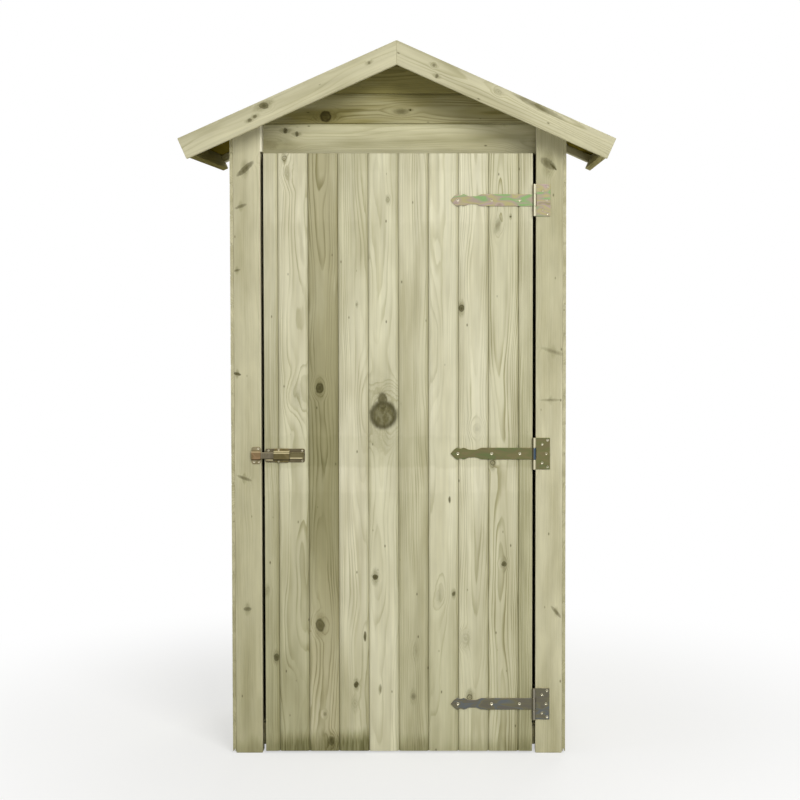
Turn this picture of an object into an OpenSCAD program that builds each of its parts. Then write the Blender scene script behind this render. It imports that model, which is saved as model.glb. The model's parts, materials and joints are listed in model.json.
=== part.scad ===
// Garden storage cabinet: a narrow timber cabinet with one ledged and braced
// door, horizontal boards on its other sides and a bare board saddle roof.
//
// Millimetres. The door faces -Y, +X is to the right seen from the front and
// +Z is up. The origin is on the ground, under the middle of the roof.

/* [Body] */
// Outside width of the body, over the side boards
body_w = 822; // [760:1:900]
// Outside depth of the body, from the front posts' faces to the back of the rear boards
body_d = 500; // [420:1:620]
// Height of the side walls above the door's top edge, up to the underside of the roof boards
head_h = 70; // [56:1:160]
// Thickness of the boards on the side walls
side_board_t = 8; // [6:0.5:14]
// Thickness of the boards on the rear wall and the two gables
gable_board_t = 12; // [8:0.5:18]
// Height of the lowest side and rear boards above the ground
wall_lift = 5; // [3:1:15]

/* [Posts and rails] */
// Width of a corner post, seen from the front
post_w = 66; // [50:1:80]
// Depth of a corner post
post_d = 36; // [34:1:50]
// Thickness of the bottom and top rails
rail_t = 34; // [24:1:44]
// Height of the bottom and top rails
rail_h = 50; // [36:1:60]

/* [Floor] */
// Height of the top of the floor above the ground
floor_z = 78; // [70:1:82]
// Thickness of the floor boards
floor_t = 12; // [8:1:16]
// Clearance round the floor boards, and between them and the posts
floor_gap = 2; // [1:0.5:4]

/* [Roof] */
// Slope of each roof side, in degrees
roof_pitch = 24; // [20:0.5:28]
// How far the roof's upper edge reaches past the side boards
eave_overhang = 116; // [90:1:150]
// How far the barge boards' faces stand in front of the posts
front_overhang = 65; // [60:1:90]
// How far the roof reaches past the rear boards
rear_overhang = 55; // [46:1:90]
// Thickness of the roof boards
roof_board_t = 12; // [8:1:18]
// Width of a roof batten
batten_w = 40; // [24:1:42]
// Thickness of a roof batten
batten_t = 19; // [12:1:24]
// Thickness of a barge board
barge_t = 16; // [12:1:17]
// Depth of a barge board, square to the slope
barge_h = 53; // [45:1:58]
// Thickness of an eave board
eave_t = 16; // [10:1:20]
// Depth of an eave board, square to the slope
eave_h = 48; // [40:1:52]
// Clearance between the roof boards and the pieces that carry or edge them
roof_gap = 0.1; // [0.1:0.1:0.5]

/* [Door] */
// Height of the door leaf
door_h = 1474; // [1300:1:1700]
// Thickness of the door's boards
door_t = 16; // [12:1:18]
// Gap between the door and each post
door_side_gap = 8; // [6:0.5:12]
// Gap between the door and the ground
door_lift = 5; // [3:1:15]
// Gap between the back of the door and the threshold rail
stop_gap = 5; // [5:0.5:8]
// How far the front gable hangs down behind the door's top edge
gable_lap = 4; // [3:1:30]
// Height of a ledge across the back of the door
ledge_h = 70; // [50:1:72]
// Thickness of the ledges and braces
ledge_t = 18; // [12:1:18]
// Distance from the door's edges to the ends of its ledges
ledge_inset = 32; // [20:1:60]
// Width of a brace
brace_w = 60; // [40:1:75]

/* [Hinges] */
// Distance from the door's top edge to the middle of the top hinge
top_hinge_inset = 114; // [90:1:200]
// Distance from the door's bottom edge to the middle of the bottom hinge
bottom_hinge_inset = 118.5; // [114.5:0.5:200]
// Thickness of the hinge metal
hinge_t = 2; // [1.5:0.1:3]
// Radius of the hinge barrel
barrel_r = 4.5; // [4:0.1:5.5]
// Radius of the hinge pin
pin_r = 2.5; // [2:0.1:3]
// Radial clearance of the pin in the strap's knuckle
pin_clear = 0.1; // [0.05:0.01:0.1]
// Length of a strap, from the pin's axis to its point
strap_l = 205; // [180:1:260]
// Height of a strap, and of its knuckle
strap_h = 29; // [24:1:34]
// Height of a strap at its neck
neck_h = 19; // [12:1:22]
// Width of a post plate, from the pin's axis to its outer edge
plate_w = 39; // [30:1:55]
// Height of a post plate
plate_h = 78; // [60:1:90]
// Clearance between the knuckles of the strap and of the plate
knuckle_gap = 0.6; // [0.4:0.1:1.2]
// Clearance between the strap's barrel and the edge of the plate
plate_gap = 1; // [0.8:0.1:2]

/* [Bolt] */
// Height of the middle of the bolt above the ground
bolt_z = 739.5; // [680:0.5:800]
// Length of the bolt's base plate
bolt_base_l = 97; // [90:1:120]
// Height of the base plate
bolt_base_h = 34; // [32:1:40]
// Thickness of the bolt's sheet metal
bolt_sheet_t = 1.5; // [1:0.1:2]
// Distance from the door's edge to the base plate
bolt_base_inset = 2; // [1:0.5:10]
// Length of the raised guide over the bar
guide_l = 39; // [30:1:45]
// Distance from the base plate's left end to the guide
guide_inset = 21; // [15:1:25]
// Height of the bar
bar_h = 16; // [12:0.5:18]
// Thickness of the bar
bar_t = 4; // [3:0.1:5]
// Height of the thumb panel that stands out from the bar's face
thumb_t = 1.6; // [1:0.1:2]
// Length of the thumb panel
thumb_l = 27; // [20:1:28]
// Clearance of the bar in its guide and in the keep
bar_clear = 0.5; // [0.3:0.1:0.8]
// Width of the keep on the post
keep_w = 23; // [18:1:30]
// Height of the keep over its ears
keep_h = 43; // [38:1:50]
// Distance from the post's edge to the keep's mouth
keep_inset = 1; // [0.5:0.5:5]

/* [Hidden] */
$fn = 48;

post_color = [0.77, 0.75, 0.64];
board_color = [0.72, 0.70, 0.57];
door_color = [0.75, 0.73, 0.60];
roof_color = [0.68, 0.66, 0.53];
zinc_color = [0.62, 0.55, 0.36];
bar_color = [0.42, 0.39, 0.34];

// Planes across the depth, from the front to the back
roof_d = front_overhang + body_d + rear_overhang;
roof_front = -roof_d / 2;
roof_back = roof_d / 2;
face_y = roof_front + front_overhang;
body_back = face_y + body_d;
rear_board_y = body_back - gable_board_t;
rear_post_y = rear_board_y - post_d;
gable_y = face_y + post_d;
door_back_y = face_y + door_t;
threshold_y = door_back_y + stop_gap;

// Half widths, from the outside in
half_body = body_w / 2;
half_frame = half_body - side_board_t;
half_doorway = half_frame - post_w;
half_door = half_doorway - door_side_gap;

// Heights
door_top = door_lift + door_h;
wall_h = door_top + head_h;
ridge_h = wall_h + half_body * tan(roof_pitch) + roof_board_t / cos(roof_pitch);
slope_l = (half_body + eave_overhang) / cos(roof_pitch);
rail_top = floor_z - floor_t;
gable_z = door_top - gable_lap;
top_hinge_z = door_top - top_hinge_inset;
bottom_hinge_z = door_lift + bottom_hinge_inset;
middle_hinge_z = (top_hinge_z + bottom_hinge_z) / 2;

// The hinges' common axis stands in the gap between the door and the right-hand post
pin_x = half_doorway - door_side_gap / 2;
pin_y = face_y - barrel_r;

// The bar's guide and the keep: a box section with this room inside it
guide_room = bar_t + thumb_t + 2 * bar_clear;
guide_slope = 2;
// The bar stops this far short of the base plate's end
bar_short = 2;
// Flat rim of the bar beside its thumb panel, and above and below it
thumb_side = 2;
thumb_edge = 1;
bar_y = face_y - bolt_sheet_t - bar_clear;
base_x = -half_door + bolt_base_inset;
keep_x = -half_doorway - keep_inset;

// Height at which a piece under the roof boards ends, at a distance x from the middle
function under_z(x) = wall_h - roof_gap + (half_body - abs(x)) * tan(roof_pitch);

// A point of the right-hand slope: u along the slope from the ridge, n square to it, downwards
function slope_point(u, n) = [
    u * cos(roof_pitch) - n * sin(roof_pitch),
    ridge_h - u * sin(roof_pitch) - n * cos(roof_pitch)
];

// How far a cut runs past the face it goes through
cut_past = 1;

// Eases from 0 to 1 as t goes from 0 to 1
function ease(t) = (1 - cos(180 * t)) / 2;

// Draws its 2D children in the XZ plane and gives them depth from y0 to y1
module along_y(y0, y1) {
    translate([0, y1, 0]) rotate([90, 0, 0]) linear_extrude(y1 - y0) children();
}

// A block given by its lowest and its highest corner
module block(low, high) {
    translate(low) cube(high - low);
}

// Puts a right-hand piece on the left
module on_left() {
    mirror([1, 0, 0]) children();
}

// A vertical slab between two distances from the middle, cut off under the roof slope
module under_slope(x0, x1, z0, y0, y1) {
    along_y(y0, y1) polygon([[x0, z0], [x1, z0], [x1, under_z(x1)], [x0, under_z(x0)]]);
}

// A piece of the right-hand slope that meets its neighbour at the ridge
module to_ridge(u1, n0, n1, y0, y1) {
    along_y(y0, y1) polygon([
        slope_point(n0 * tan(roof_pitch), n0), slope_point(u1, n0),
        slope_point(u1, n1), slope_point(n1 * tan(roof_pitch), n1)
    ]);
}

module front_post() {
    color(post_color) under_slope(half_doorway, half_frame, 0, face_y, gable_y);
}

module rear_post() {
    color(post_color) under_slope(half_doorway, half_frame, 0, rear_post_y, rear_board_y);
}

module side_wall() {
    color(board_color) under_slope(half_frame, half_body, wall_lift, face_y, body_back);
}

module rear_wall() {
    color(board_color) block([-half_frame, rear_board_y, wall_lift], [half_frame, body_back, gable_z]);
}

// A gable: horizontal boards between the side walls, up to the ridge
module gable(y0) {
    color(board_color) along_y(y0, y0 + gable_board_t) polygon([
        [-half_frame, gable_z], [half_frame, gable_z], [half_frame, under_z(half_frame)],
        [0, under_z(0)], [-half_frame, under_z(half_frame)]
    ]);
}

module threshold_rail() {
    color(post_color) block(
        [-half_doorway, threshold_y, rail_top - rail_h], [half_doorway, threshold_y + rail_t, rail_top]
    );
}

module rear_bottom_rail() {
    color(post_color) block(
        [-half_doorway, rear_board_y - rail_t, rail_top - rail_h], [half_doorway, rear_board_y, rail_top]
    );
}

module bottom_rail() {
    color(post_color) block(
        [half_frame - rail_t, gable_y, rail_top - rail_h], [half_frame, rear_post_y, rail_top]
    );
}

module floor_bearer() {
    color(post_color) block(
        [-rail_t / 2, threshold_y + rail_t, rail_top - rail_h], [rail_t / 2, rear_board_y - rail_t, rail_top]
    );
}

// The floor runs past the posts at the sides, and between them at the front and back
module floor_panel() {
    narrow = half_doorway - floor_gap;
    wide = half_frame - floor_gap;
    color(board_color) translate([0, 0, rail_top]) linear_extrude(floor_t) polygon([
        [-narrow, threshold_y], [narrow, threshold_y],
        [narrow, gable_y + floor_gap], [wide, gable_y + floor_gap],
        [wide, rear_post_y - floor_gap], [narrow, rear_post_y - floor_gap],
        [narrow, rear_board_y - floor_gap], [-narrow, rear_board_y - floor_gap],
        [-narrow, rear_post_y - floor_gap], [-wide, rear_post_y - floor_gap],
        [-wide, gable_y + floor_gap], [-narrow, gable_y + floor_gap]
    ]);
}

module top_rail() {
    color(post_color) under_slope(
        half_frame - rail_t, half_frame, wall_h - rail_h, gable_y + gable_board_t, rear_post_y
    );
}

module roof_panel() {
    color(roof_color) to_ridge(
        slope_l - eave_t - roof_gap, 0, roof_board_t, roof_front + barge_t + roof_gap, roof_back
    );
}

// Battens hold the roof boards together, one behind the barge board and one at the back
module batten(y0) {
    top = roof_board_t + roof_gap;
    color(post_color) to_ridge(slope_l - eave_t - roof_gap, top, top + batten_t, y0, y0 + batten_w);
}

module barge_board() {
    color(post_color) to_ridge(slope_l, 0, barge_h, roof_front, roof_front + barge_t);
}

module eave_board() {
    color(post_color) along_y(roof_front + barge_t, roof_back) polygon([
        slope_point(slope_l - eave_t, 0), slope_point(slope_l, 0),
        slope_point(slope_l, eave_h), slope_point(slope_l - eave_t, eave_h)
    ]);
}

module door_leaf() {
    color(door_color) block([-half_door, face_y, door_lift], [half_door, door_back_y, door_top]);
}

// A ledge lies behind each pair of hinge and boards
module ledge(z) {
    reach = half_door - ledge_inset;
    color(door_color) block(
        [-reach, door_back_y, z - ledge_h / 2], [reach, door_back_y + ledge_t, z + ledge_h / 2]
    );
}

// A brace rises from the hinge side of one ledge to the bolt side of the next
module brace(z_low, z_high) {
    reach = half_door - ledge_inset;
    low = z_low + ledge_h / 2;
    high = z_high - ledge_h / 2;
    color(door_color) along_y(door_back_y, door_back_y + ledge_t) polygon([
        [reach - brace_w, low], [reach, low], [-reach + brace_w, high], [-reach, high]
    ]);
}

// Half height of a strap at a distance s from the pin: parallel, a neck, then two lobes and a point
strap_end = [18, 31, 48, 60, 78];
lobe_notch = 2;
function strap_half(s) =
    let (h = strap_h / 2, n = neck_h / 2, e = strap_l - s)
    e > strap_end[4] ? h :
    e > strap_end[3] ? n + (h - n) * ease((e - strap_end[3]) / (strap_end[4] - strap_end[3])) :
    e > strap_end[2] ? n :
    e > strap_end[1] ? n + (h - n) * ease((strap_end[2] - e) / (strap_end[2] - strap_end[1])) :
    e > strap_end[0] ? h - lobe_notch * sin(180 * (e - strap_end[0]) / (strap_end[1] - strap_end[0])) :
    h * sin(90 * e / strap_end[0]);

strap_steps = 40;
strap_run = concat([0], [
    for (i = [0:strap_steps]) strap_l - strap_end[4] * (1 - i / strap_steps)
]);

module hinge_strap(z) {
    color(zinc_color) translate([pin_x, 0, z]) difference() {
        union() {
            along_y(face_y - hinge_t, face_y) polygon(concat(
                [for (s = strap_run) [-s, strap_half(s)]],
                [for (i = [len(strap_run) - 2:-1:0]) [-strap_run[i], -strap_half(strap_run[i])]]
            ));
            translate([0, pin_y, -strap_h / 2]) cylinder(r = barrel_r, h = strap_h);
        }
        translate([0, pin_y, -strap_h]) cylinder(r = pin_r + pin_clear, h = 2 * strap_h);
    }
}

// The plate on the post carries the outer knuckles and the pin through all three
module hinge_plate(z) {
    notch = strap_h / 2 + knuckle_gap;
    color(zinc_color) translate([pin_x, 0, z]) {
        difference() {
            union() {
                along_y(face_y - hinge_t, face_y) polygon([
                    [0, -plate_h / 2], [plate_w, -plate_h / 2], [plate_w, plate_h / 2], [0, plate_h / 2]
                ]);
                translate([0, pin_y, -plate_h / 2]) cylinder(r = barrel_r, h = plate_h);
            }
            block(
                [-2 * barrel_r, pin_y - 2 * barrel_r, -notch],
                [barrel_r + plate_gap, face_y + cut_past, notch]
            );
        }
        translate([0, pin_y, -plate_h / 2]) cylinder(r = pin_r, h = plate_h);
    }
}

// A bent sheet over the bar: ears of height ear_h, and a box section between them.
// The section is drawn across the bar's run, and reaches from x0 to x1.
module bridge(x0, x1, ear_h, room_h, room, foot) {
    top = room + bolt_sheet_t;
    inner = room_h / 2;
    outer = inner + bolt_sheet_t;
    translate([x0, face_y, bolt_z]) rotate([90, 0, 90]) linear_extrude(x1 - x0) polygon([
        [0, -ear_h / 2], [-foot, -ear_h / 2], [-foot, -outer - guide_slope], [-top, -outer],
        [-top, outer], [-foot, outer + guide_slope], [-foot, ear_h / 2], [0, ear_h / 2],
        [0, inner], [-room, inner], [-room, -inner], [0, -inner]
    ]);
}

module bolt_keep() {
    room = bolt_sheet_t + bar_clear + bar_t + bar_clear;
    color(zinc_color) bridge(
        keep_x - keep_w, keep_x, keep_h, bar_h + 2 * bar_clear, room, bolt_sheet_t
    );
}

module bolt_base() {
    color(zinc_color) {
        block(
            [base_x, face_y - bolt_sheet_t, bolt_z - bolt_base_h / 2],
            [base_x + bolt_base_l, face_y, bolt_z + bolt_base_h / 2]
        );
        translate([0, -bolt_sheet_t, 0]) bridge(
            base_x + guide_inset, base_x + guide_inset + guide_l,
            bar_h + 2 * (bar_clear + bolt_sheet_t + guide_slope),
            bar_h + 2 * bar_clear, guide_room, 0
        );
    }
}

// The bar lies in its guide with its point at the mouth of the keep
module bolt_bar() {
    bar_end = base_x + bolt_base_l - bar_short;
    front = bar_y - bar_t;
    color(bar_color) {
        block([keep_x, front, bolt_z - bar_h / 2], [bar_end, bar_y, bolt_z + bar_h / 2]);
        block(
            [bar_end - thumb_side - thumb_l, front - thumb_t, bolt_z - bar_h / 2 + thumb_edge],
            [bar_end - thumb_side, front, bolt_z + bar_h / 2 - thumb_edge]
        );
    }
}

on_left() front_post();  // left_front_post
front_post();  // right_front_post
on_left() rear_post();  // left_rear_post
rear_post();  // right_rear_post
on_left() side_wall();  // left_side_wall
side_wall();  // right_side_wall
rear_wall();
gable(gable_y);  // front_gable
gable(rear_board_y);  // rear_gable
threshold_rail();
rear_bottom_rail();
on_left() bottom_rail();  // left_bottom_rail
bottom_rail();  // right_bottom_rail
floor_bearer();
floor_panel();  // floor
on_left() top_rail();  // left_top_rail
top_rail();  // right_top_rail
on_left() roof_panel();  // left_roof_panel
roof_panel();  // right_roof_panel
on_left() batten(roof_front + barge_t + roof_gap);  // left_front_batten
batten(roof_front + barge_t + roof_gap);  // right_front_batten
on_left() batten(roof_back - batten_w);  // left_rear_batten
batten(roof_back - batten_w);  // right_rear_batten
on_left() barge_board();  // left_barge_board
barge_board();  // right_barge_board
on_left() eave_board();  // left_eave_board
eave_board();  // right_eave_board
hinge_plate(top_hinge_z);  // top_hinge_plate
hinge_plate(middle_hinge_z);  // middle_hinge_plate
hinge_plate(bottom_hinge_z);  // bottom_hinge_plate
bolt_keep();
door_leaf();
ledge(top_hinge_z);  // top_ledge
ledge(middle_hinge_z);  // middle_ledge
ledge(bottom_hinge_z);  // bottom_ledge
brace(middle_hinge_z, top_hinge_z);  // upper_brace
brace(bottom_hinge_z, middle_hinge_z);  // lower_brace
hinge_strap(top_hinge_z);  // top_hinge_strap
hinge_strap(middle_hinge_z);  // middle_hinge_strap
hinge_strap(bottom_hinge_z);  // bottom_hinge_strap
bolt_base();
bolt_bar();
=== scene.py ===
import json
import logging
import math
import random
from collections.abc import Iterable, Sequence
from dataclasses import dataclass, field
from enum import Enum

import bmesh
import bpy
from bmesh.types import BMEdge, BMesh, BMVert
from bpy.types import ID, Material, Mesh, Object
from bpy.types import NodeSocket as Socket
from bpy.types import NodeTree as Tree
from mathutils import Matrix, Vector


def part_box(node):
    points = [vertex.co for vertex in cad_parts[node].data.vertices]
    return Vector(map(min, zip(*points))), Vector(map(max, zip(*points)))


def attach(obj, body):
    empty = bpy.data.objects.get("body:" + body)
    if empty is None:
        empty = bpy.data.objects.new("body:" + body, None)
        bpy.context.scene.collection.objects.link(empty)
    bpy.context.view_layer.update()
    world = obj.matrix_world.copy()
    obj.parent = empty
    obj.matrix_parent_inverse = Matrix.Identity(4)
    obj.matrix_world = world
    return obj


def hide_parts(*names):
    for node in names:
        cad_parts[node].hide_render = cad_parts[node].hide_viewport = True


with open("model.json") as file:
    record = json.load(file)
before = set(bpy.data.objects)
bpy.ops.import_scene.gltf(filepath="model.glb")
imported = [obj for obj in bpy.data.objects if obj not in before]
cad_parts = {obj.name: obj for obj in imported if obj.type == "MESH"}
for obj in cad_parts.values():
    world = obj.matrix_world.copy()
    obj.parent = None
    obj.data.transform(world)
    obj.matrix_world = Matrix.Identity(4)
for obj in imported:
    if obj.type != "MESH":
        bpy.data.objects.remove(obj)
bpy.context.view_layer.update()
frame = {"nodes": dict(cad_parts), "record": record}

MM = 0.001
KNOT_SLOTS = 6  # the knots that a board's attributes hold
SEED_SHIFT = (17.0, 31.0, 43.0)  # how far a seed of 1 shifts a board's patterns, in metres
EAST, BACK, UP = Vector((1, 0, 0)), Vector((0, 1, 0)), Vector((0, 0, 1))
BODY_OF = {
    node: body for body, nodes in frame["record"]["behaviour"]["bodies"].items() for node in nodes
}
# kinds of node: a range takes its value, where it starts and ends, and what it gives there
MATH, VECTOR = "ShaderNodeMath", "ShaderNodeVectorMath"
RANGE, MIX = "ShaderNodeMapRange", "ShaderNodeMix"
SPLIT, JOIN = "ShaderNodeSeparateXYZ", "ShaderNodeCombineXYZ"
ATTRIBUTE = "ShaderNodeAttribute"
# settings that come again: a range with soft ends, and a mix of two colours (inputs 6 and 7)
SMOOTH = {"interpolation_type": "SMOOTHSTEP"}
RGBA = {"out": 2, "data_type": "RGBA"}
log = logging.getLogger("cabinet")


# ---- small tools

def linear(code: str) -> tuple[float, float, float, float]:
    """Turns an sRGB colour to the linear values that a shader works in.

    Args:
        code: the colour as hex, such as "#d6d2b3".

    Returns:
        Red, green, blue and an alpha of 1.
    """
    parts = [int(code[i:i + 2], 16) / 255 for i in (1, 3, 5)]
    return (*(p / 12.92 if p <= 0.04045 else ((p + 0.055) / 1.055) ** 2.4 for p in parts), 1.0)


def add(
    tree: Tree, kind: str, *feeds: object, out: int = 0, op: str = "", **settings: object
) -> Socket:
    """Adds one node to a tree, with its settings and links.

    Args:
        tree: the tree that takes the node.
        kind: the node's type, such as "ShaderNodeMath".
        feeds: what feeds its inputs, in order, each a value or a socket; or a dict of them by
            the input's name or number.
        out: which of the node's outputs to hand back.
        op: what a maths node does, such as "MULTIPLY".
        settings: the node's other properties.

    Returns:
        The chosen output, or the node's first input where it has no output.
    """
    node = tree.nodes.new(kind)
    if op:
        node.operation = op
    for name, setting in settings.items():
        setattr(node, name, setting)
    named = feeds[0] if feeds and isinstance(feeds[0], dict) else dict(enumerate(feeds))
    for key, value in named.items():
        for source in value if isinstance(value, list) else [value]:
            if isinstance(source, Socket):
                tree.links.new(source, node.inputs[key])
            else:
                node.inputs[key].default_value = source
    return node.outputs[out] if len(node.outputs) else node.inputs[0]


def new_group(name: str, kind: str, inputs: dict[str, str], outputs: dict[str, str]) -> Tree:
    """Makes an empty node group with its sockets.

    Args:
        name: the group's name.
        kind: the type of its tree.
        inputs: the kind of each input, such as "Float", by name.
        outputs: the kind of each output, by name.

    Returns:
        The group's tree.
    """
    tree = bpy.data.node_groups.new(name, kind)
    for side, sockets in (("INPUT", inputs), ("OUTPUT", outputs)):
        for label, sort in sockets.items():
            tree.interface.new_socket(label, in_out=side, socket_type=f"NodeSocket{sort}")
    return tree


def blank(name: str) -> tuple[Material, Tree]:
    """Makes an empty material.

    Args:
        name: the finish's name.

    Returns:
        The material and its node tree.
    """
    material = bpy.data.materials.new(name)
    material.use_nodes = True
    material.node_tree.nodes.clear()
    return material, material.node_tree


def new_object(name: str, data: ID) -> Object:
    """Puts an object into the scene at the origin.

    Args:
        name: the object's name.
        data: its mesh, light or camera.

    Returns:
        The object.
    """
    made = bpy.data.objects.new(name, data)
    bpy.context.scene.collection.objects.link(made)
    return made


def to_mesh(bm: BMesh, name: str) -> Mesh:
    """Turns a finished bmesh into a mesh with its faces outwards and shaded smooth.

    Args:
        bm: the bmesh, which is freed.
        name: the mesh's name.

    Returns:
        The mesh.
    """
    bmesh.ops.recalc_face_normals(bm, faces=bm.faces)
    for face in bm.faces:
        face.smooth = True
    mesh = bpy.data.meshes.new(name)
    bm.to_mesh(mesh)
    bm.free()
    return mesh


def soften(piece: Object, width: float, segments: int = 2) -> None:
    """Rounds a piece's sharp edges.

    Args:
        piece: the piece.
        width: the rounding, in millimetres.
        segments: how many faces make the rounding.
    """
    bevel = piece.modifiers.new("eased_edges", "BEVEL")
    bevel.width = width * MM
    bevel.segments = segments
    bevel.limit_method = "ANGLE"
    bevel.angle_limit = math.radians(20)
    bevel.harden_normals = True


def cad_copy(node: str) -> BMesh:
    """Copies a CAD node's mesh, merged and with its flat faces whole.

    Args:
        node: the CAD node's name.

    Returns:
        The copy as a bmesh.
    """
    bm = bmesh.new()
    bm.from_mesh(frame["nodes"][node].data)
    bmesh.ops.remove_doubles(bm, verts=bm.verts, dist=0.002 * MM)
    bmesh.ops.dissolve_limit(bm, angle_limit=math.radians(0.5), verts=bm.verts, edges=bm.edges)
    return bm


def settle(piece: Object, body: str, slot: str, *nodes: str) -> None:
    """Hands a finished piece to the frame and reports it.

    Args:
        piece: the piece.
        body: the CAD body that it moves with.
        slot: the record's material slot; not used.
        nodes: the CAD nodes that it stands for.
    """
    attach(piece, body)
    if nodes:
        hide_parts(*nodes)
    log.info("%s: %d faces, on %s", piece.name, len(piece.data.polygons), body)


# ---- how wood grew

@dataclass(frozen=True)
class Knot:
    """A knot on a board's face, in millimetres from the board's middle line and its foot.

    Attributes:
        across: how far it lies from the middle line.
        up: how far it lies from the foot.
        radius: its shorter half.
        stretch: how much longer its other half is.
        lean: the angle of its longer axis from straight across, in degrees.
        ink: how dark it is; below zero it is a ring with a pale middle.
    """

    across: float
    up: float
    radius: float
    stretch: float = 1.0
    lean: float = 90.0
    ink: float = 0.9


@dataclass(frozen=True)
class Growth:
    """How a board was sawn from its log, and its look.

    Attributes:
        pith_across: where the pith lies across the board, in millimetres.
        pith_depth: how far it lies behind the face.
        tone: how dark the board is, from 0 to 1.
        figure: how much its rings show.
        seed: shifts every pattern on it.
        knots: its knots.
        damp: how dark its foot is.
        run: how light it is at its foot, halfway up and at its top, against its tone; partly painted
            light and shade.
    """

    pith_across: float
    pith_depth: float
    tone: float = 0.3
    figure: float = 0.5
    seed: float = 0.0
    knots: tuple[Knot, ...] = ()
    damp: float = 0.4
    run: tuple[float, float, float] = (1.0, 1.0, 1.0)

    def attributes(self) -> dict[str, tuple[float, float, float]]:
        """Returns the vectors that the wood's material reads, by attribute name."""
        values = {
            "pith": (self.pith_across * MM, self.pith_depth * MM, self.damp),
            "board": (self.tone, self.figure, self.seed),
            "run": self.run,
        }
        for slot in range(KNOT_SLOTS):
            knot = self.knots[slot] if slot < len(self.knots) else Knot(0, -9000, 0)
            turn = math.radians(knot.lean)
            axis = (math.cos(turn) * knot.stretch, math.sin(turn) * knot.stretch, knot.ink)
            values[f"knot_{slot}"] = (knot.across * MM, knot.up * MM, knot.radius * MM)
            values[f"knot_axis_{slot}"] = axis
        return values


@dataclass
class Sawmill:
    """Picks boards at random, always the same ones for the same seed."""

    seed: int
    tone: tuple[float, float] = (0.15, 0.6)

    def __post_init__(self) -> None:
        """Starts the mill's own run of random numbers."""
        self.pick = random.Random(self.seed)

    def board(self, length: float, width: float = 60.0) -> Growth:
        """Picks one board.

        Args:
            length: the board's length, in millimetres.
            width: its width, in millimetres.

        Returns:
            How it grew.
        """
        pick = self.pick
        knots = tuple(
            Knot(
                pick.uniform(-0.4, 0.4) * width, pick.uniform(0.05, 0.95) * length,
                pick.choice((3, 4, 5, 6, 8, 11)), pick.uniform(1.0, 1.6), pick.uniform(60, 120),
                pick.choice((0.9, 0.7, 0.5, -0.8)),
            )
            for _ in range(pick.choice((0, 1, 1, 2, 3)))
        )
        return Growth(
            pick.choice((-1, 1)) * pick.uniform(0, 70), pick.uniform(20, 75),
            pick.uniform(*self.tone), pick.uniform(0.3, 0.9), pick.random(), knots,
        )

    def boards(self, count: int, length: float) -> list[Growth]:
        """Picks several boards of one length, in millimetres."""
        return [self.board(length) for _ in range(count)]


def store_growth(mesh: Mesh, growths: Sequence[Growth], owner: Sequence[int]) -> None:
    """Writes each board's growth on its vertices.

    Args:
        mesh: a mesh with one or more boards.
        growths: how each board grew.
        owner: for each vertex, the number of its board.
    """
    sets = [growth.attributes() for growth in growths]
    for name in sets[0]:
        values = [part for number in owner for part in sets[number][name]]
        mesh.attributes.new(name, "FLOAT_VECTOR", "POINT").data.foreach_set("vector", values)


# ---- finishes

def drawn_out(
    tree: Tree, ground: Socket, across: float, along: float, detail: float = 2.0, out: int = 0
) -> Socket:
    """Adds a noise whose grains are drawn out along the board.

    Args:
        tree: the material's tree.
        ground: the board's own coordinates, shifted by its seed.
        across: how wide a grain of the noise is, in millimetres.
        along: how long it is, in millimetres.
        detail: the noise's detail.
        out: 0 for one value, 1 for a colour of three.

    Returns:
        The noise, from 0 to 1.
    """
    rate = (1 / (across * MM), 1 / (across * MM), 1 / (along * MM))
    scaled = add(tree, VECTOR, ground, rate, op="MULTIPLY")
    return add(
        tree, "ShaderNodeTexNoise", {"Vector": scaled, "Scale": 1.0, "Detail": detail}, out=out
    )


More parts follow.
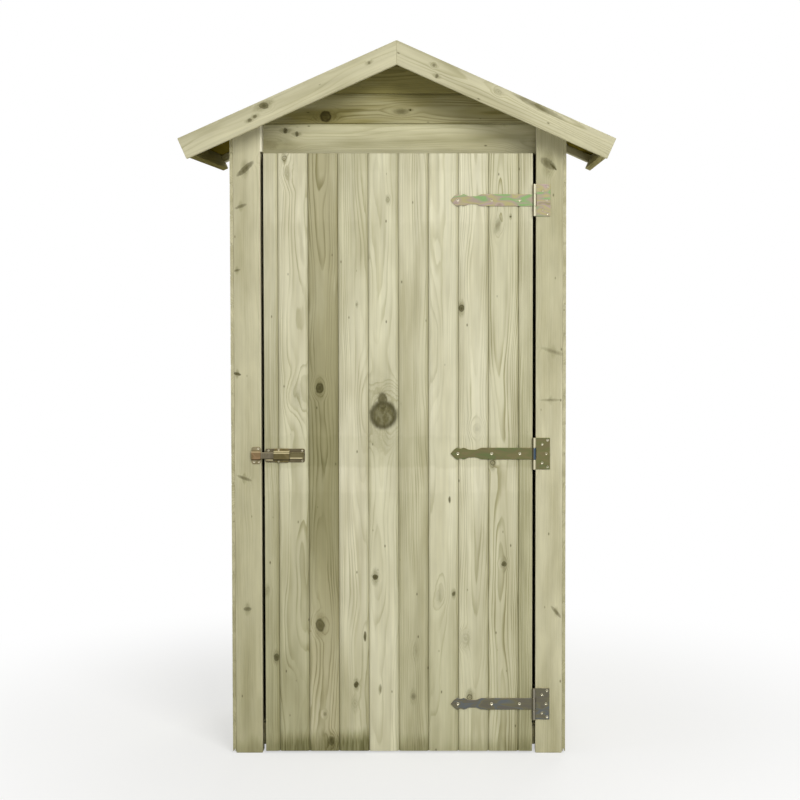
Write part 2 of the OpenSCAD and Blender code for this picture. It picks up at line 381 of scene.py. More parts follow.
def knot_group() -> Tree:
    """Builds the group that bends the grain round one knot and marks where the knot shows.

    Returns:
        The group. Push moves the point at which the rings are read, Heart is the knot's face,
        Rim its dark edge and Halo the stained spindle of wood round it.
    """
    inputs = dict.fromkeys(("Place", "Ragged", "Knot", "Axis"), "Vector")
    outputs = {"Push": "Vector", "Heart": "Float", "Rim": "Float", "Halo": "Float"}
    tree = new_group("knot", "ShaderNodeTree", inputs, outputs)
    given = tree.nodes.new("NodeGroupInput").outputs
    knot_across, knot_up, size = add(tree, SPLIT, given["Knot"]).node.outputs
    # the noise tears its outline, by at most 3 mm either way
    torn = add(tree, MATH, size, 0.8, op="MULTIPLY")
    torn = add(tree, MATH, torn, 6 * MM, op="MINIMUM")
    torn = add(tree, JOIN, torn, torn, torn)
    place = add(tree, VECTOR, given["Ragged"], torn, given["Place"], op="MULTIPLY_ADD")
    across, _, along = add(tree, SPLIT, place).node.outputs
    axis_x, axis_y, ink = add(tree, SPLIT, given["Axis"]).node.outputs
    radius = add(tree, MATH, size, 0.01 * MM, op="MAXIMUM")
    beside = add(tree, MATH, across, knot_across, op="SUBTRACT")
    above = add(tree, MATH, along, knot_up, op="SUBTRACT")
    # the distance from its middle in its own radii, shortened along its longer axis
    offset = add(tree, JOIN, beside, above)
    axis = add(tree, JOIN, axis_x, axis_y)
    stretch = add(tree, VECTOR, axis, out=1, op="LENGTH")
    axis = add(tree, VECTOR, axis, op="NORMALIZE")
    reach = add(tree, VECTOR, offset, axis, out=1, op="DOT_PRODUCT")
    aside = add(tree, VECTOR, offset, axis, op="CROSS_PRODUCT")
    aside = add(tree, VECTOR, aside, out=1, op="LENGTH")
    reach = add(tree, MATH, reach, stretch, op="DIVIDE")
    flat = add(tree, JOIN, reach, aside)
    distance = add(tree, VECTOR, flat, out=1, op="LENGTH")
    relative = add(tree, MATH, distance, radius, op="DIVIDE")
    # the same along the board and across it
    level = add(tree, MATH, above, op="ABSOLUTE")
    level = add(tree, MATH, level, radius, op="DIVIDE")
    side = add(tree, MATH, beside, op="ABSOLUTE")
    side = add(tree, MATH, side, radius, op="DIVIDE")
    results = {
        "Push": knot_push(tree, beside, radius, relative, level, side),
        **knot_marks(tree, ink, radius, relative, level, side),
    }
    result = tree.nodes.new("NodeGroupOutput").inputs
    for name, socket in results.items():
        tree.links.new(socket, result[name])
    return tree


def knot_push(
    tree: Tree, beside: Socket, radius: Socket, relative: Socket, level: Socket, side: Socket
) -> Socket:
    """Adds how the rings part round a knot.

    Args:
        tree: the group's tree.
        beside: how far a point lies across the board from the knot's middle.
        radius: the knot's radius.
        relative: the point's distance from the middle, in the knot's own radii.
        level: its distance along the board alone, in radii.
        side: its distance across the board alone, in radii.

    Returns:
        How far the knot moves the point at which the rings are read.
    """
    near_level = add(tree, RANGE, level, 0.0, 4.2, 1.0, 0.0, **SMOOTH)
    near_side = add(tree, RANGE, side, 0.0, 4.5, 1.0, 0.0, **SMOOTH)
    eye = add(tree, MATH, near_level, near_side, op="MULTIPLY")
    strength = add(tree, MATH, eye, radius, op="MULTIPLY")
    turn = add(tree, MATH, beside, radius, op="DIVIDE")
    turn = add(tree, MATH, turn, 2.2, op="MULTIPLY")
    turn = add(tree, MATH, turn, op="TANH")
    sideways = add(tree, MATH, strength, turn, op="MULTIPLY")
    sideways = add(tree, MATH, sideways, -0.95, op="MULTIPLY")
    shallow = add(tree, MATH, radius, 9 * MM, op="MINIMUM")
    lift = add(tree, RANGE, relative, 0.4, 3.2, 1.0, 0.0, **SMOOTH)
    lift = add(tree, MATH, lift, shallow, op="MULTIPLY")
    return add(tree, JOIN, sideways, lift)


def knot_marks(
    tree: Tree, ink: Socket, radius: Socket, relative: Socket, level: Socket, side: Socket
) -> dict[str, Socket]:
    """Adds the masks of what shows of a knot.

    Args:
        tree: the group's tree.
        ink: how dark the knot is; below zero it is a ring with a pale middle.
        radius: its radius.
        relative: a point's distance from its middle, in its own radii.
        level: the same along the board alone.
        side: the same across the board alone.

    Returns:
        The masks of its face, its edge and the stained wood round it, by name.
    """
    solid = add(tree, MATH, ink, 0.0, op="MAXIMUM")
    dark = add(tree, MATH, ink, op="ABSOLUTE")
    # the face: a weak knot has a soft edge, a ring only its core
    soft = add(tree, RANGE, dark, 0.2, 0.9, 0.1, 0.8)
    heart = add(tree, RANGE, relative, soft, 1.15, solid, 0.0, **SMOOTH)
    core = add(tree, RANGE, relative, 0.2, 0.5, 1.0, 0.0, **SMOOTH)
    core = add(tree, MATH, core, dark, op="MULTIPLY")
    core = add(tree, MATH, core, 0.6, op="MULTIPLY")
    heart = add(tree, MATH, heart, core, op="MAXIMUM")
    # the edge, and the dark pith in the middle of a small knot
    edge = add(tree, MATH, relative, 0.9, op="SUBTRACT")
    edge = add(tree, MATH, edge, op="ABSOLUTE")
    rim = add(tree, RANGE, edge, 0.0, 0.35, 1.0, 0.0, **SMOOTH)
    rim = add(tree, MATH, rim, dark, op="MULTIPLY")
    rim = add(tree, MATH, rim, dark, op="MULTIPLY")
    pith = add(tree, RANGE, relative, 0.2, 0.95, 1.0, 0.0, **SMOOTH)
    pith = add(tree, MATH, pith, solid, op="MULTIPLY")
    small = add(tree, RANGE, radius, 8 * MM, 15 * MM, 1.0, 0.0, **SMOOTH)
    pith = add(tree, MATH, pith, small, op="MULTIPLY")
    pith = add(tree, MATH, pith, solid, op="MULTIPLY")
    rim = add(tree, MATH, rim, pith, op="MAXIMUM")
    # the stain, drawn out along the board and weaker round a large knot
    spindle = add(tree, MATH, level, 0.42, op="MULTIPLY")
    spindle = add(tree, JOIN, side, spindle)
    spindle = add(tree, VECTOR, spindle, out=1, op="LENGTH")
    halo = add(tree, RANGE, spindle, 0.6, 1.9, 1.0, 0.0, **SMOOTH)
    halo = add(tree, MATH, halo, dark, op="MULTIPLY")
    narrow = add(tree, RANGE, radius, 12 * MM, 28 * MM, 1.0, 0.4, **SMOOTH)
    halo = add(tree, MATH, halo, narrow, op="MULTIPLY")
    return {"Heart": heart, "Rim": rim, "Halo": halo}


@dataclass(frozen=True)
class TreatedPine:
    """Planed pine, pressure treated: pale green-grey early wood with olive late wood, and
    knots that the treatment turns dark olive. It is dry and matt, and darker near the ground.

    Attributes:
        name: the material's name.
        pale, pale_late: early and late wood of the palest board.
        dark, dark_late: the same of the darkest board.
        knot, knot_rim, speck: a knot's face, its edge, and pin knots.
        ring: how far apart the growth rings lie, in millimetres.
        foot, foot_height: how light it is at the ground, against 1 from that height, in metres.
        bands: level bands on it: from and to, in metres, and how light.
        seam: how deep in its grooves the painted shade is full, and its thickness, in millimetres.
        arris: how far from its middle line its arrises lie, in metres, which carry a painted
            highlight.
        knots_read: how many knots of a board it reads.
        streaks, clouds: how strongly fine streaks and broad clouds show.
        underside_shade: a tint of painted shade for what faces down.
        roughness, specular: how matt it is, and how much it reflects.
    """

    name: str
    pale: str = "#dad6b8"
    pale_late: str = "#a39d72"
    dark: str = "#aca682"
    dark_late: str = "#7b754c"
    knot: str = "#6b6641"
    knot_rim: str = "#48432a"
    speck: str = "#55502f"
    ring: float = 4.8
    foot: float = 0.80
    foot_height: float = 0.75
    bands: tuple[tuple[float, float, float], ...] = ()
    seam: tuple[float, float] | None = None
    arris: float | None = None
    knots_read: int = 4
    streaks: float = 1.0
    clouds: float = 0.03
    underside_shade: str | None = None
    roughness: float = 0.72
    specular: float = 0.06

    def material(self) -> Material:
        """Builds and returns the wood's material, which reads the attributes of each board."""
        material, tree = blank(self.name)
        names = ("board_at", "pith", "board")
        at, pith, board = (add(tree, ATTRIBUTE, out=1, attribute_name=name) for name in names)
        tone, figure, seed = add(tree, SPLIT, board).node.outputs
        ground = add(tree, JOIN, seed, seed, seed)
        ground = add(tree, VECTOR, ground, SEED_SHIFT, at, op="MULTIPLY_ADD")
        push, marks = self._knots(tree, at, ground)
        late = self._rings(tree, at, pith, push, ground, seed)
        colour = self._colour(tree, ground, tone, figure, late, marks)
        colour = self._weather(tree, colour, ground, at, pith)
        relief = self._relief(tree, ground, late, marks)
        surface = add(
            tree, "ShaderNodeBsdfPrincipled",
            {
                "Base Color": colour, "Roughness": self.roughness,
                "Specular IOR Level": self.specular, "Normal": relief,
            },
        )
        add(tree, "ShaderNodeOutputMaterial", surface)
        return material

    def _knots(self, tree: Tree, at: Socket, ground: Socket) -> tuple[Socket, dict[str, Socket]]:
        """Adds the board's knots.

        Args:
            tree: the material's tree.
            at: the board's own coordinates.
            ground: the same, shifted by the board's seed.

        Returns:
            How far the knots push the rings, and the masks of what shows of them.
        """
        group = bpy.data.node_groups.get("knot") or knot_group()
        ragged = drawn_out(tree, ground, 6.0, 9.0, 4.0, out=1)
        ragged = add(tree, VECTOR, ragged, (0.5,) * 3, op="SUBTRACT")
        push, marks = None, {}
        for slot in range(self.knots_read):
            feeds = {
                "Place": at, "Ragged": ragged,
                "Knot": add(tree, ATTRIBUTE, out=1, attribute_name=f"knot_{slot}"),
                "Axis": add(tree, ATTRIBUTE, out=1, attribute_name=f"knot_axis_{slot}"),
            }
            node = add(tree, "ShaderNodeGroup", feeds, node_tree=group).node
            found = {name: node.outputs[name] for name in ("Heart", "Rim", "Halo")}
            if push is None:
                push, marks = node.outputs["Push"], found
                continue
            push = add(tree, VECTOR, push, node.outputs["Push"], op="ADD")
            for name, mark in found.items():
                marks[name] = add(tree, MATH, marks[name], mark, op="MAXIMUM")
        return push, marks

    def _rings(
        self, tree: Tree, at: Socket, pith: Socket, push: Socket, ground: Socket, seed: Socket
    ) -> Socket:
        """Adds the growth rings, cut by the board's face wherever it meets them.

        Args:
            tree: the material's tree.
            at: the board's own coordinates.
            pith: where the pith lies from the board's face.
            push: how far the knots push the rings.
            ground: the board's coordinates, shifted by its seed.
            seed: the board's seed.

        Returns:
            How much late wood shows, from 0 to 1.
        """
        wander = drawn_out(tree, ground, 85.0, 400.0, 1.5, out=1)
        wander = add(
            tree, VECTOR, wander, (16 * MM, 44 * MM, 0.0), (-8 * MM, -22 * MM, 0.0),
            op="MULTIPLY_ADD",
        )
        ripple = drawn_out(tree, ground, 14.0, 90.0, 2.0, out=1)
        ripple = add(tree, VECTOR, ripple, (2.4 * MM, 2.4 * MM, 0.0), wander, op="MULTIPLY_ADD")
        from_pith = add(tree, VECTOR, at, pith, op="SUBTRACT")
        from_pith = add(tree, VECTOR, from_pith, push, op="ADD")
        from_pith = add(tree, VECTOR, from_pith, ripple, op="ADD")
        x, y, z = add(tree, SPLIT, from_pith).node.outputs
        y = add(tree, MATH, z, 0.008, y, op="MULTIPLY_ADD")
        flat = add(tree, JOIN, x, y)
        radius = add(tree, VECTOR, flat, out=1, op="LENGTH")
        years = add(tree, MATH, radius, 1 / (self.ring * MM), seed, op="MULTIPLY_ADD")
        uneven = add(
            tree, "ShaderNodeTexNoise", {"W": years, "Scale": 0.45, "Detail": 1.0},
            noise_dimensions="1D",
        )
        years = add(tree, MATH, uneven, 2.2, years, op="MULTIPLY_ADD")
        season = add(tree, MATH, years, op="FRACT")
        grow = add(tree, RANGE, season, 0.4, 0.92, 0.0, 1.0, **SMOOTH)
        stop = add(tree, RANGE, season, 0.92, 1.0, 1.0, 0.0)
        late = add(tree, MATH, grow, stop, op="MULTIPLY")
        year = add(tree, MATH, years, op="FLOOR")
        vigour = add(tree, "ShaderNodeTexWhiteNoise", {"W": year}, noise_dimensions="1D")
        vigour = add(tree, RANGE, {0: vigour, 3: 0.35, 4: 1.0})
        return add(tree, MATH, late, vigour, op="MULTIPLY")

    def _colour(
        self, tree: Tree, ground: Socket, tone: Socket, figure: Socket, late: Socket,
        marks: dict[str, Socket],
    ) -> Socket:
        """Adds the wood's colours: the board's tone, its rings, streaks, stains and knots.

        Args:
            tree: the material's tree.
            ground: the board's coordinates, shifted by its seed.
            tone: how dark the board is.
            figure: how much its rings show.
            late: where late wood shows.
            marks: the masks of the knots.

        Returns:
            The colour.
        """
        stain = drawn_out(tree, ground, 40.0, 260.0, 2.5)
        stain = add(tree, RANGE, stain, 0.42, 0.72, 0.0, 0.5)
        depth = add(tree, MATH, stain, tone, op="ADD", use_clamp=True)
        early = add(tree, MIX, {0: depth, 6: linear(self.pale), 7: linear(self.dark)}, **RGBA)
        dense = add(
            tree, MIX, {0: depth, 6: linear(self.pale_late), 7: linear(self.dark_late)}, **RGBA
        )
        patch = drawn_out(tree, ground, 45.0, 230.0, 1.0)
        patch = add(tree, RANGE, patch, 0.36, 0.60, 0.3, 1.15, **SMOOTH)
        shown = add(tree, MATH, late, figure, op="MULTIPLY")
        shown = add(tree, MATH, shown, patch, op="MULTIPLY")
        colour = add(tree, MIX, {0: shown, 6: early, 7: dense}, **RGBA)
        broad = drawn_out(tree, ground, 13.0, 700.0, 2.0)
        low, high = 1 - 0.07 * self.streaks, 1 + 0.05 * self.streaks
        broad = add(tree, RANGE, broad, 0.3, 0.7, low, high)
        fine = drawn_out(tree, ground, 3.2, 160.0, 2.0)
        low, high = 1 - 0.05 * self.streaks, 1 + 0.04 * self.streaks
        fine = add(tree, RANGE, fine, 0.25, 0.75, low, high)
        cloud = drawn_out(tree, ground, 24.0, 75.0, 2.0)
        low, high = 1 - self.clouds, 1 + self.clouds
        cloud = add(tree, RANGE, cloud, 0.3, 0.7, low, high)
        streak = add(tree, MATH, broad, fine, op="MULTIPLY")
        streak = add(tree, MATH, streak, cloud, op="MULTIPLY")
        streak = add(tree, JOIN, streak, streak, streak)
        colour = add(tree, VECTOR, colour, streak, op="MULTIPLY")
        halo = add(tree, MATH, marks["Halo"], 0.55, op="MULTIPLY")
        colour = add(tree, MIX, {0: halo, 6: colour, 7: linear(self.dark_late)}, **RGBA)
        crumbs = drawn_out(tree, ground, 5.0, 7.0, 4.0)
        heart = add(tree, RANGE, crumbs, 0.35, 0.65, 0.0, 0.45, **SMOOTH)
        heart = add(tree, MIX, {0: heart, 6: linear(self.knot), 7: linear(self.knot_rim)}, **RGBA)
        broken = drawn_out(tree, ground, 7.0, 16.0, 3.0)
        broken = add(tree, RANGE, broken, 0.42, 0.60, 1.0, 0.78, **SMOOTH)
        broken = add(tree, MATH, marks["Heart"], broken, op="MULTIPLY")
        colour = add(tree, MIX, {0: broken, 6: colour, 7: heart}, **RGBA)
        split = add(tree, MATH, crumbs, 0.5, op="SUBTRACT")
        split = add(tree, MATH, split, op="ABSOLUTE")
        split = add(tree, RANGE, split, 0.0, 0.02, 1.0, 0.0, **SMOOTH)
        split = add(tree, MATH, split, marks["Halo"], op="MULTIPLY")
        rim = add(tree, MATH, marks["Rim"], 0.85, op="MULTIPLY")
        split = add(tree, MATH, split, 0.55, op="MULTIPLY")
        rim = add(tree, MATH, rim, split, op="MAXIMUM")
        colour = add(tree, MIX, {0: rim, 6: colour, 7: linear(self.knot_rim)}, **RGBA)
        return self._specks(tree, ground, colour)

    def _specks(self, tree: Tree, ground: Socket, colour: Socket) -> Socket:
        """Adds pin knots and resin specks, a few millimetres each and far apart.

        Args:
            tree: the material's tree.
            ground: the board's coordinates, shifted by its seed.
            colour: the wood's colour.

        Returns:
            The colour.
        """
        apart = (1 / (34 * MM), 1 / (34 * MM), 1 / (72 * MM))
        cells = add(tree, VECTOR, ground, apart, op="MULTIPLY")
        cell = add(tree, "ShaderNodeTexVoronoi", {"Vector": cells, "Scale": 1.0})
        spot = add(tree, RANGE, cell, 0.025, 0.07, 0.75, 0.0)
        return add(tree, MIX, {0: spot, 6: colour, 7: linear(self.speck)}, **RGBA)

    def _weather(
        self, tree: Tree, colour: Socket, ground: Socket, at: Socket, pith: Socket
    ) -> Socket:
        """Adds a darker foot with a tide mark, level bands, painted shade in the grooves, a painted
        highlight on the arrises and painted shade where it faces down.

        Args:
            tree: the material's tree.
            colour: the wood's colour.
            ground: the board's coordinates, shifted by its seed.
            at: the board's own coordinates.
            pith: the attribute that also holds how damp the board's foot is.

        Returns:
            The weathered colour.
        """
        level, shade = self._foot_and_tide(tree, ground, pith)
        for low, high, strength in self.bands:
            middle = add(tree, MATH, level, (low + high) / 2, op="SUBTRACT")
            away = add(tree, MATH, middle, op="ABSOLUTE")
            half = (high - low) / 2
            band = add(tree, RANGE, away, half - 6 * MM, half + 4 * MM, strength, 1.0, **SMOOTH)
            shade = add(tree, MATH, shade, band, op="MULTIPLY")
        across, into, _ = add(tree, SPLIT, at).node.outputs
        if self.seam:
            groove_shade = self._groove_shade(tree, across, into, *self.seam)
            shade = add(tree, MATH, shade, groove_shade, op="MULTIPLY")
        if self.arris:
            # a painted highlight along both arrises
            edge = add(tree, MATH, across, op="ABSOLUTE")
            start, end = self.arris - 3.2 * MM, self.arris - 1.4 * MM
            painted_highlight = add(tree, RANGE, edge, start, end, 1.0, 1.16, **SMOOTH)
            shade = add(tree, MATH, shade, painted_highlight, op="MULTIPLY")
        # wherever it is darker, painted shade included, it also turns more olive
        warm = add(tree, MATH, shade, 1.36, op="POWER")
        tint = add(tree, JOIN, shade, shade, warm)
        if self.underside_shade:
            # a tint of painted shade where it faces down
            normal = add(tree, "ShaderNodeNewGeometry", out=1)
            facing = add(tree, SPLIT, normal).node.outputs[2]
            down_shade = add(tree, RANGE, facing, -0.6, 0.2, 1.0, 0.0, **SMOOTH)
            down_shade = add(tree, MIX, {0: down_shade, 6: (1, 1, 1, 1), 7: linear(self.underside_shade)}, **RGBA)
            tint = add(tree, VECTOR, tint, down_shade, op="MULTIPLY")
        return add(tree, VECTOR, colour, tint, op="MULTIPLY")

    def _foot_and_tide(self, tree: Tree, ground: Socket, pith: Socket) -> tuple[Socket, Socket]:
        """Adds the darker foot, the board's run from foot to top, which is partly painted light and
        shade, and the tide mark.

        Args:
            tree: the material's tree.
            ground: the board's coordinates, shifted by its seed.
            pith: the attribute that also holds how damp the board's foot is.

        Returns:
            The height above the ground, made uneven, and how light the wood is.
        """
        place = add(tree, "ShaderNodeTexCoord", out=3)
        height = add(tree, SPLIT, place).node.outputs[2]
        creep = drawn_out(tree, ground, 20.0, 50.0, 2.0)
        level = add(tree, MATH, creep, 24 * MM, height, op="MULTIPLY_ADD")
        shade = add(tree, RANGE, level, 0.0, self.foot_height, self.foot, 1.0)
        run = add(tree, ATTRIBUTE, out=1, attribute_name="run")
        foot, middle, top = add(tree, SPLIT, run).node.outputs
        low = add(tree, RANGE, height, 0.62, 0.12, middle, foot, **SMOOTH)
        light = add(tree, RANGE, height, 1.38, 0.66, top, low, **SMOOTH)
        shade = add(tree, MATH, shade, light, op="MULTIPLY")
        damp = add(tree, SPLIT, pith).node.outputs[2]
        threads = drawn_out(tree, ground, 5.0, 60.0, 2.0)
        wicked = add(tree, MATH, threads, 26 * MM, level, op="MULTIPLY_ADD")
        wicked = add(tree, MATH, damp, -22 * MM, wicked, op="MULTIPLY_ADD")
        tide = add(tree, RANGE, wicked, 20 * MM, 66 * MM, 1.0, 0.0, **SMOOTH)
        tide = add(tree, MATH, tide, damp, op="MULTIPLY")
        threaded = add(tree, RANGE, threads, 0.35, 0.6, 1.15, 0.85, **SMOOTH)
        tide = add(tree, MATH, tide, threaded, op="MULTIPLY")
        tide = add(tree, MATH, tide, -0.48, 1.0, op="MULTIPLY_ADD")
        return level, add(tree, MATH, shade, tide, op="MULTIPLY")

    def _groove_shade(
        self, tree: Tree, across: Socket, into: Socket, depth: float, thickness: float
    ) -> Socket:
        """Adds painted shade deeper in the grooves, and more painted shade beside one edge of each
        board.

        Args:
            tree: the material's tree.
            across: how far a point lies across the board from its middle.
            into: how far it lies behind the board's face.
            depth: how deep the painted shade is full, in millimetres.
            thickness: the board's thickness; its back is clean.

        Returns:
            How light the wood is.
        """
        # painted shade, deeper in the groove
        groove_shade = add(tree, RANGE, into, 0.2 * MM, depth * MM, 1.0, 0.93, **SMOOTH)
        # painted shade beside one edge of each board
        edge = add(tree, RANGE, across, 28 * MM, 33 * MM, 1.0, 0.84, **SMOOTH)
        groove_shade = add(tree, MATH, groove_shade, edge, op="MULTIPLY")
        clean = add(tree, RANGE, into, 0.9 * thickness * MM, thickness * MM, 0.0, 1.0, **SMOOTH)
        return add(tree, MATH, groove_shade, clean, op="MAXIMUM")

    def _relief(
        self, tree: Tree, ground: Socket, late: Socket, marks: dict[str, Socket]
    ) -> Socket:
        """Adds the relief that planing leaves: proud late wood, fibres and raised knots.

        Args:
            tree: the material's tree.
            ground: the board's coordinates, shifted by its seed.
            late: where late wood shows.
            marks: the masks of the knots.

        Returns:
            The shading normal.
        """
        fibre = drawn_out(tree, ground, 1.4, 45.0, 3.0)
        height = add(tree, MATH, fibre, 0.35, late, op="MULTIPLY_ADD")
        height = add(tree, MATH, marks["Rim"], -0.8, height, op="MULTIPLY_ADD")
        return add(
            tree, "ShaderNodeBump", {"Height": height, "Strength": 0.6, "Distance": 0.45 * MM}
        )


class Passivation(Enum):
    """How the yellow passivation of a zinc-plated fitting has turned out, from new to dull."""

    BRIGHT = ("#8a8262", "#a3918a", "#a39d6c", "#9c8d80", "#7b9f63", "#a79b86")
    OLIVE = ("#706a4b", "#79714f", "#6e7049", "#756c4d", "#667048", "#7b7052")
    DULL = ("#6c6956", "#6a665a", "#747058", "#656a6c", "#6e6a58", "#6b6760")
    COPPER = ("#846f4f", "#94795a", "#786746", "#8f7756", "#74653f", "#8a7252")
    GOLD = ("#6f6545", "#7d7150", "#675d3e", "#776b49", "#62593a", "#72684a")
    DARK = ("#746c58", "#7c735f", "#6b6450", "#786f5c", "#68614e", "#756c5a")
    BRASSY = ("#6a614a", "#736a52", "#625a44", "#6f664e", "#655d47", "#716850")
    EAR = ("#8a8062", "#958a6c", "#817859", "#8f8466", "#7b7354", "#8b8163")
    GRIP = ("#756c4c", "#7d7453", "#6e6647", "#7a7150", "#6a6244", "#766d4d")
    PALE = ("#c4bea2", "#d6d1ba", "#b5ae90", "#cfc9b0", "#c9c3a8", "#bdb698")


@dataclass(frozen=True)
class PlatedSteel:
    """Pressed sheet steel, zinc plated and yellow passivated: a satin metal whose thin film
    shows broad clouds of gold, pink and green, with a painted highlight on upturned edges.

    Attributes:
        passivation: how its film has turned out.
        knuckle: the painted highlight on the front and right side of the rolled knuckle, if it is a
            hinge's.
        painted_highlight: the colour of the painted highlight on its upturned edges.
        cloud: how large the clouds are along each axis, in millimetres.
        drift: how far they are shifted along X, in millimetres.
        roughness: how satin it is.
        barrel: half the knuckle's width, in millimetres.
    """

    passivation: Passivation
    knuckle: str | None = None
    painted_highlight: str = "#dfd3a8"
    cloud: tuple[float, float, float] = (34.0, 34.0, 34.0)
    drift: float = 0.0
    roughness: float = 0.36
    barrel: float = 5.0

    def material(self) -> Material:
        """Builds the plated steel and returns its material."""
        ending = "_knuckle" if self.knuckle else ""
        material, tree = blank(f"passivated_zinc_{self.passivation.name.lower()}{ending}")
        place = add(tree, "ShaderNodeTexCoord", out=3)
        colour = self._film(tree, place)
        if self.knuckle:
            colour = self._rolled(tree, place, colour, self.knuckle)
        # painted shade where it faces down, a painted highlight where it faces up
        normal = add(tree, "ShaderNodeNewGeometry", out=1)
        upturned = add(tree, SPLIT, normal).node.outputs[2]
        shaded = add(tree, RANGE, upturned, -0.8, 0.1, 0.5, 1.0, **SMOOTH)
        shaded = add(tree, JOIN, shaded, shaded, shaded)
        colour = add(tree, VECTOR, colour, shaded, op="MULTIPLY")
        highlight_mask = add(tree, RANGE, upturned, 0.15, 0.7, 0.0, 0.7, **SMOOTH)
        colour = add(tree, MIX, {0: highlight_mask, 6: colour, 7: linear(self.painted_highlight)}, **RGBA)
        grain = {"Vector": place, "Scale": 1 / (1.6 * MM), "Detail": 3.0}
        grain = add(tree, "ShaderNodeTexNoise", grain)
        rough = add(tree, RANGE, {0: grain, 3: self.roughness - 0.08, 4: self.roughness + 0.12})
        relief = {"Height": grain, "Strength": 0.2, "Distance": 0.1 * MM}
        relief = add(tree, "ShaderNodeBump", relief)
        surface = add(
            tree, "ShaderNodeBsdfPrincipled",
            {"Base Color": colour, "Metallic": 1.0, "Roughness": rough, "Normal": relief},
        )
        add(tree, "ShaderNodeOutputMaterial", surface)
        return material

    def _film(self, tree: Tree, place: Socket) -> Socket:
        """Adds the film's clouds, which run through the passivation's colours.

        Args:
            tree: the material's tree.
            place: the piece's coordinates.

        Returns:
            The colour.
        """
        rate = tuple(1 / (size * MM) for size in self.cloud)
        shift = (self.drift / self.cloud[0], 0.0, 0.0)
        drifted = add(tree, VECTOR, place, rate, shift, op="MULTIPLY_ADD")
        cloud = {"Vector": drifted, "Scale": 1.0, "Detail": 1.5, "Distortion": 0.6}
        cloud = add(tree, "ShaderNodeTexNoise", cloud)
        ramp = add(tree, "ShaderNodeValToRGB", cloud).node
        film = ramp.color_ramp
        colours = self.passivation.value
        while len(film.elements) < len(colours):
            film.elements.new(0.5)
        for number, code in enumerate(colours):
            film.elements[number].position = 0.3 + 0.4 * number / (len(colours) - 1)
            film.elements[number].color = linear(code)
        return ramp.outputs[0]

    def _rolled(self, tree: Tree, place: Socket, colour: Socket, knuckle: str) -> Socket:
        """Adds the look of the rolled knuckle: painted shade on its left side, its painted highlight
        elsewhere.

        Args:
            tree: the material's tree.
            place: the piece's coordinates.
            colour: the film's colour.
            knuckle: the knuckle's painted highlight.

        Returns:
            The colour.
        """
        east = add(tree, SPLIT, place).node.outputs[0]
        low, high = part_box("top_hinge_plate")[0].x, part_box("top_hinge_strap")[1].x
        off = add(tree, MATH, east, (low + high) / 2, op="SUBTRACT")
        off = add(tree, MATH, off, op="ABSOLUTE")
        start, end = (self.barrel - 0.5) * MM, self.barrel * MM
        rolled = add(tree, RANGE, off, start, end, 1.0, 0.0, **SMOOTH)
        # painted shade over the whole knuckle, which stays on its left side
        dark = add(tree, MATH, rolled, 0.6, op="MULTIPLY")
        colour = add(tree, MIX, {0: dark, 6: colour, 7: linear("#4d4630")}, **RGBA)
        # the painted highlight where it faces right or forwards
        normal = add(tree, "ShaderNodeNewGeometry", out=1)
        lit_side = add(tree, SPLIT, normal).node.outputs[0]
        lit_side = add(tree, RANGE, lit_side, -0.1, -0.55, 1.0, 0.0, **SMOOTH)
        rolled = add(tree, MATH, rolled, lit_side, op="MULTIPLY")
        return add(tree, MIX, {0: rolled, 6: colour, 7: linear(knuckle)}, **RGBA)


# ---- boards and timbers

@dataclass(frozen=True)
class Boarding:
    """Tongued and grooved boarding: what one board measures, in millimetres."""

    thickness: float
    cover: float = 73.6
    chamfer_w: float = 5.0
    chamfer_d: float = 2.6
    gap: float = 1.0
    tongue_l: float = 6.0
    tongue_t: float = 3.6
    play: float = 0.4

    def outline(self) -> list[tuple[float, float]]:
        """Returns the board's section: across it, and from its face to its back."""
        half = (self.cover - self.gap) / 2
        low = (self.thickness - self.tongue_t) / 2
        high = low + self.tongue_t
        slot_low, slot_high = low - self.play / 2, high + self.play / 2
        slot = -half + self.tongue_l + self.play
        return [
            (-half, self.chamfer_d), (-half + self.chamfer_w, 0), (half - self.chamfer_w, 0),
            (half, self.chamfer_d), (half, low), (half + self.tongue_l, low),
            (half + self.tongue_l, high), (half, high), (half, self.thickness),
            (-half, self.thickness), (-half, slot_high), (slot, slot_high), (slot, slot_low),
            (-half, slot_low),
        ]


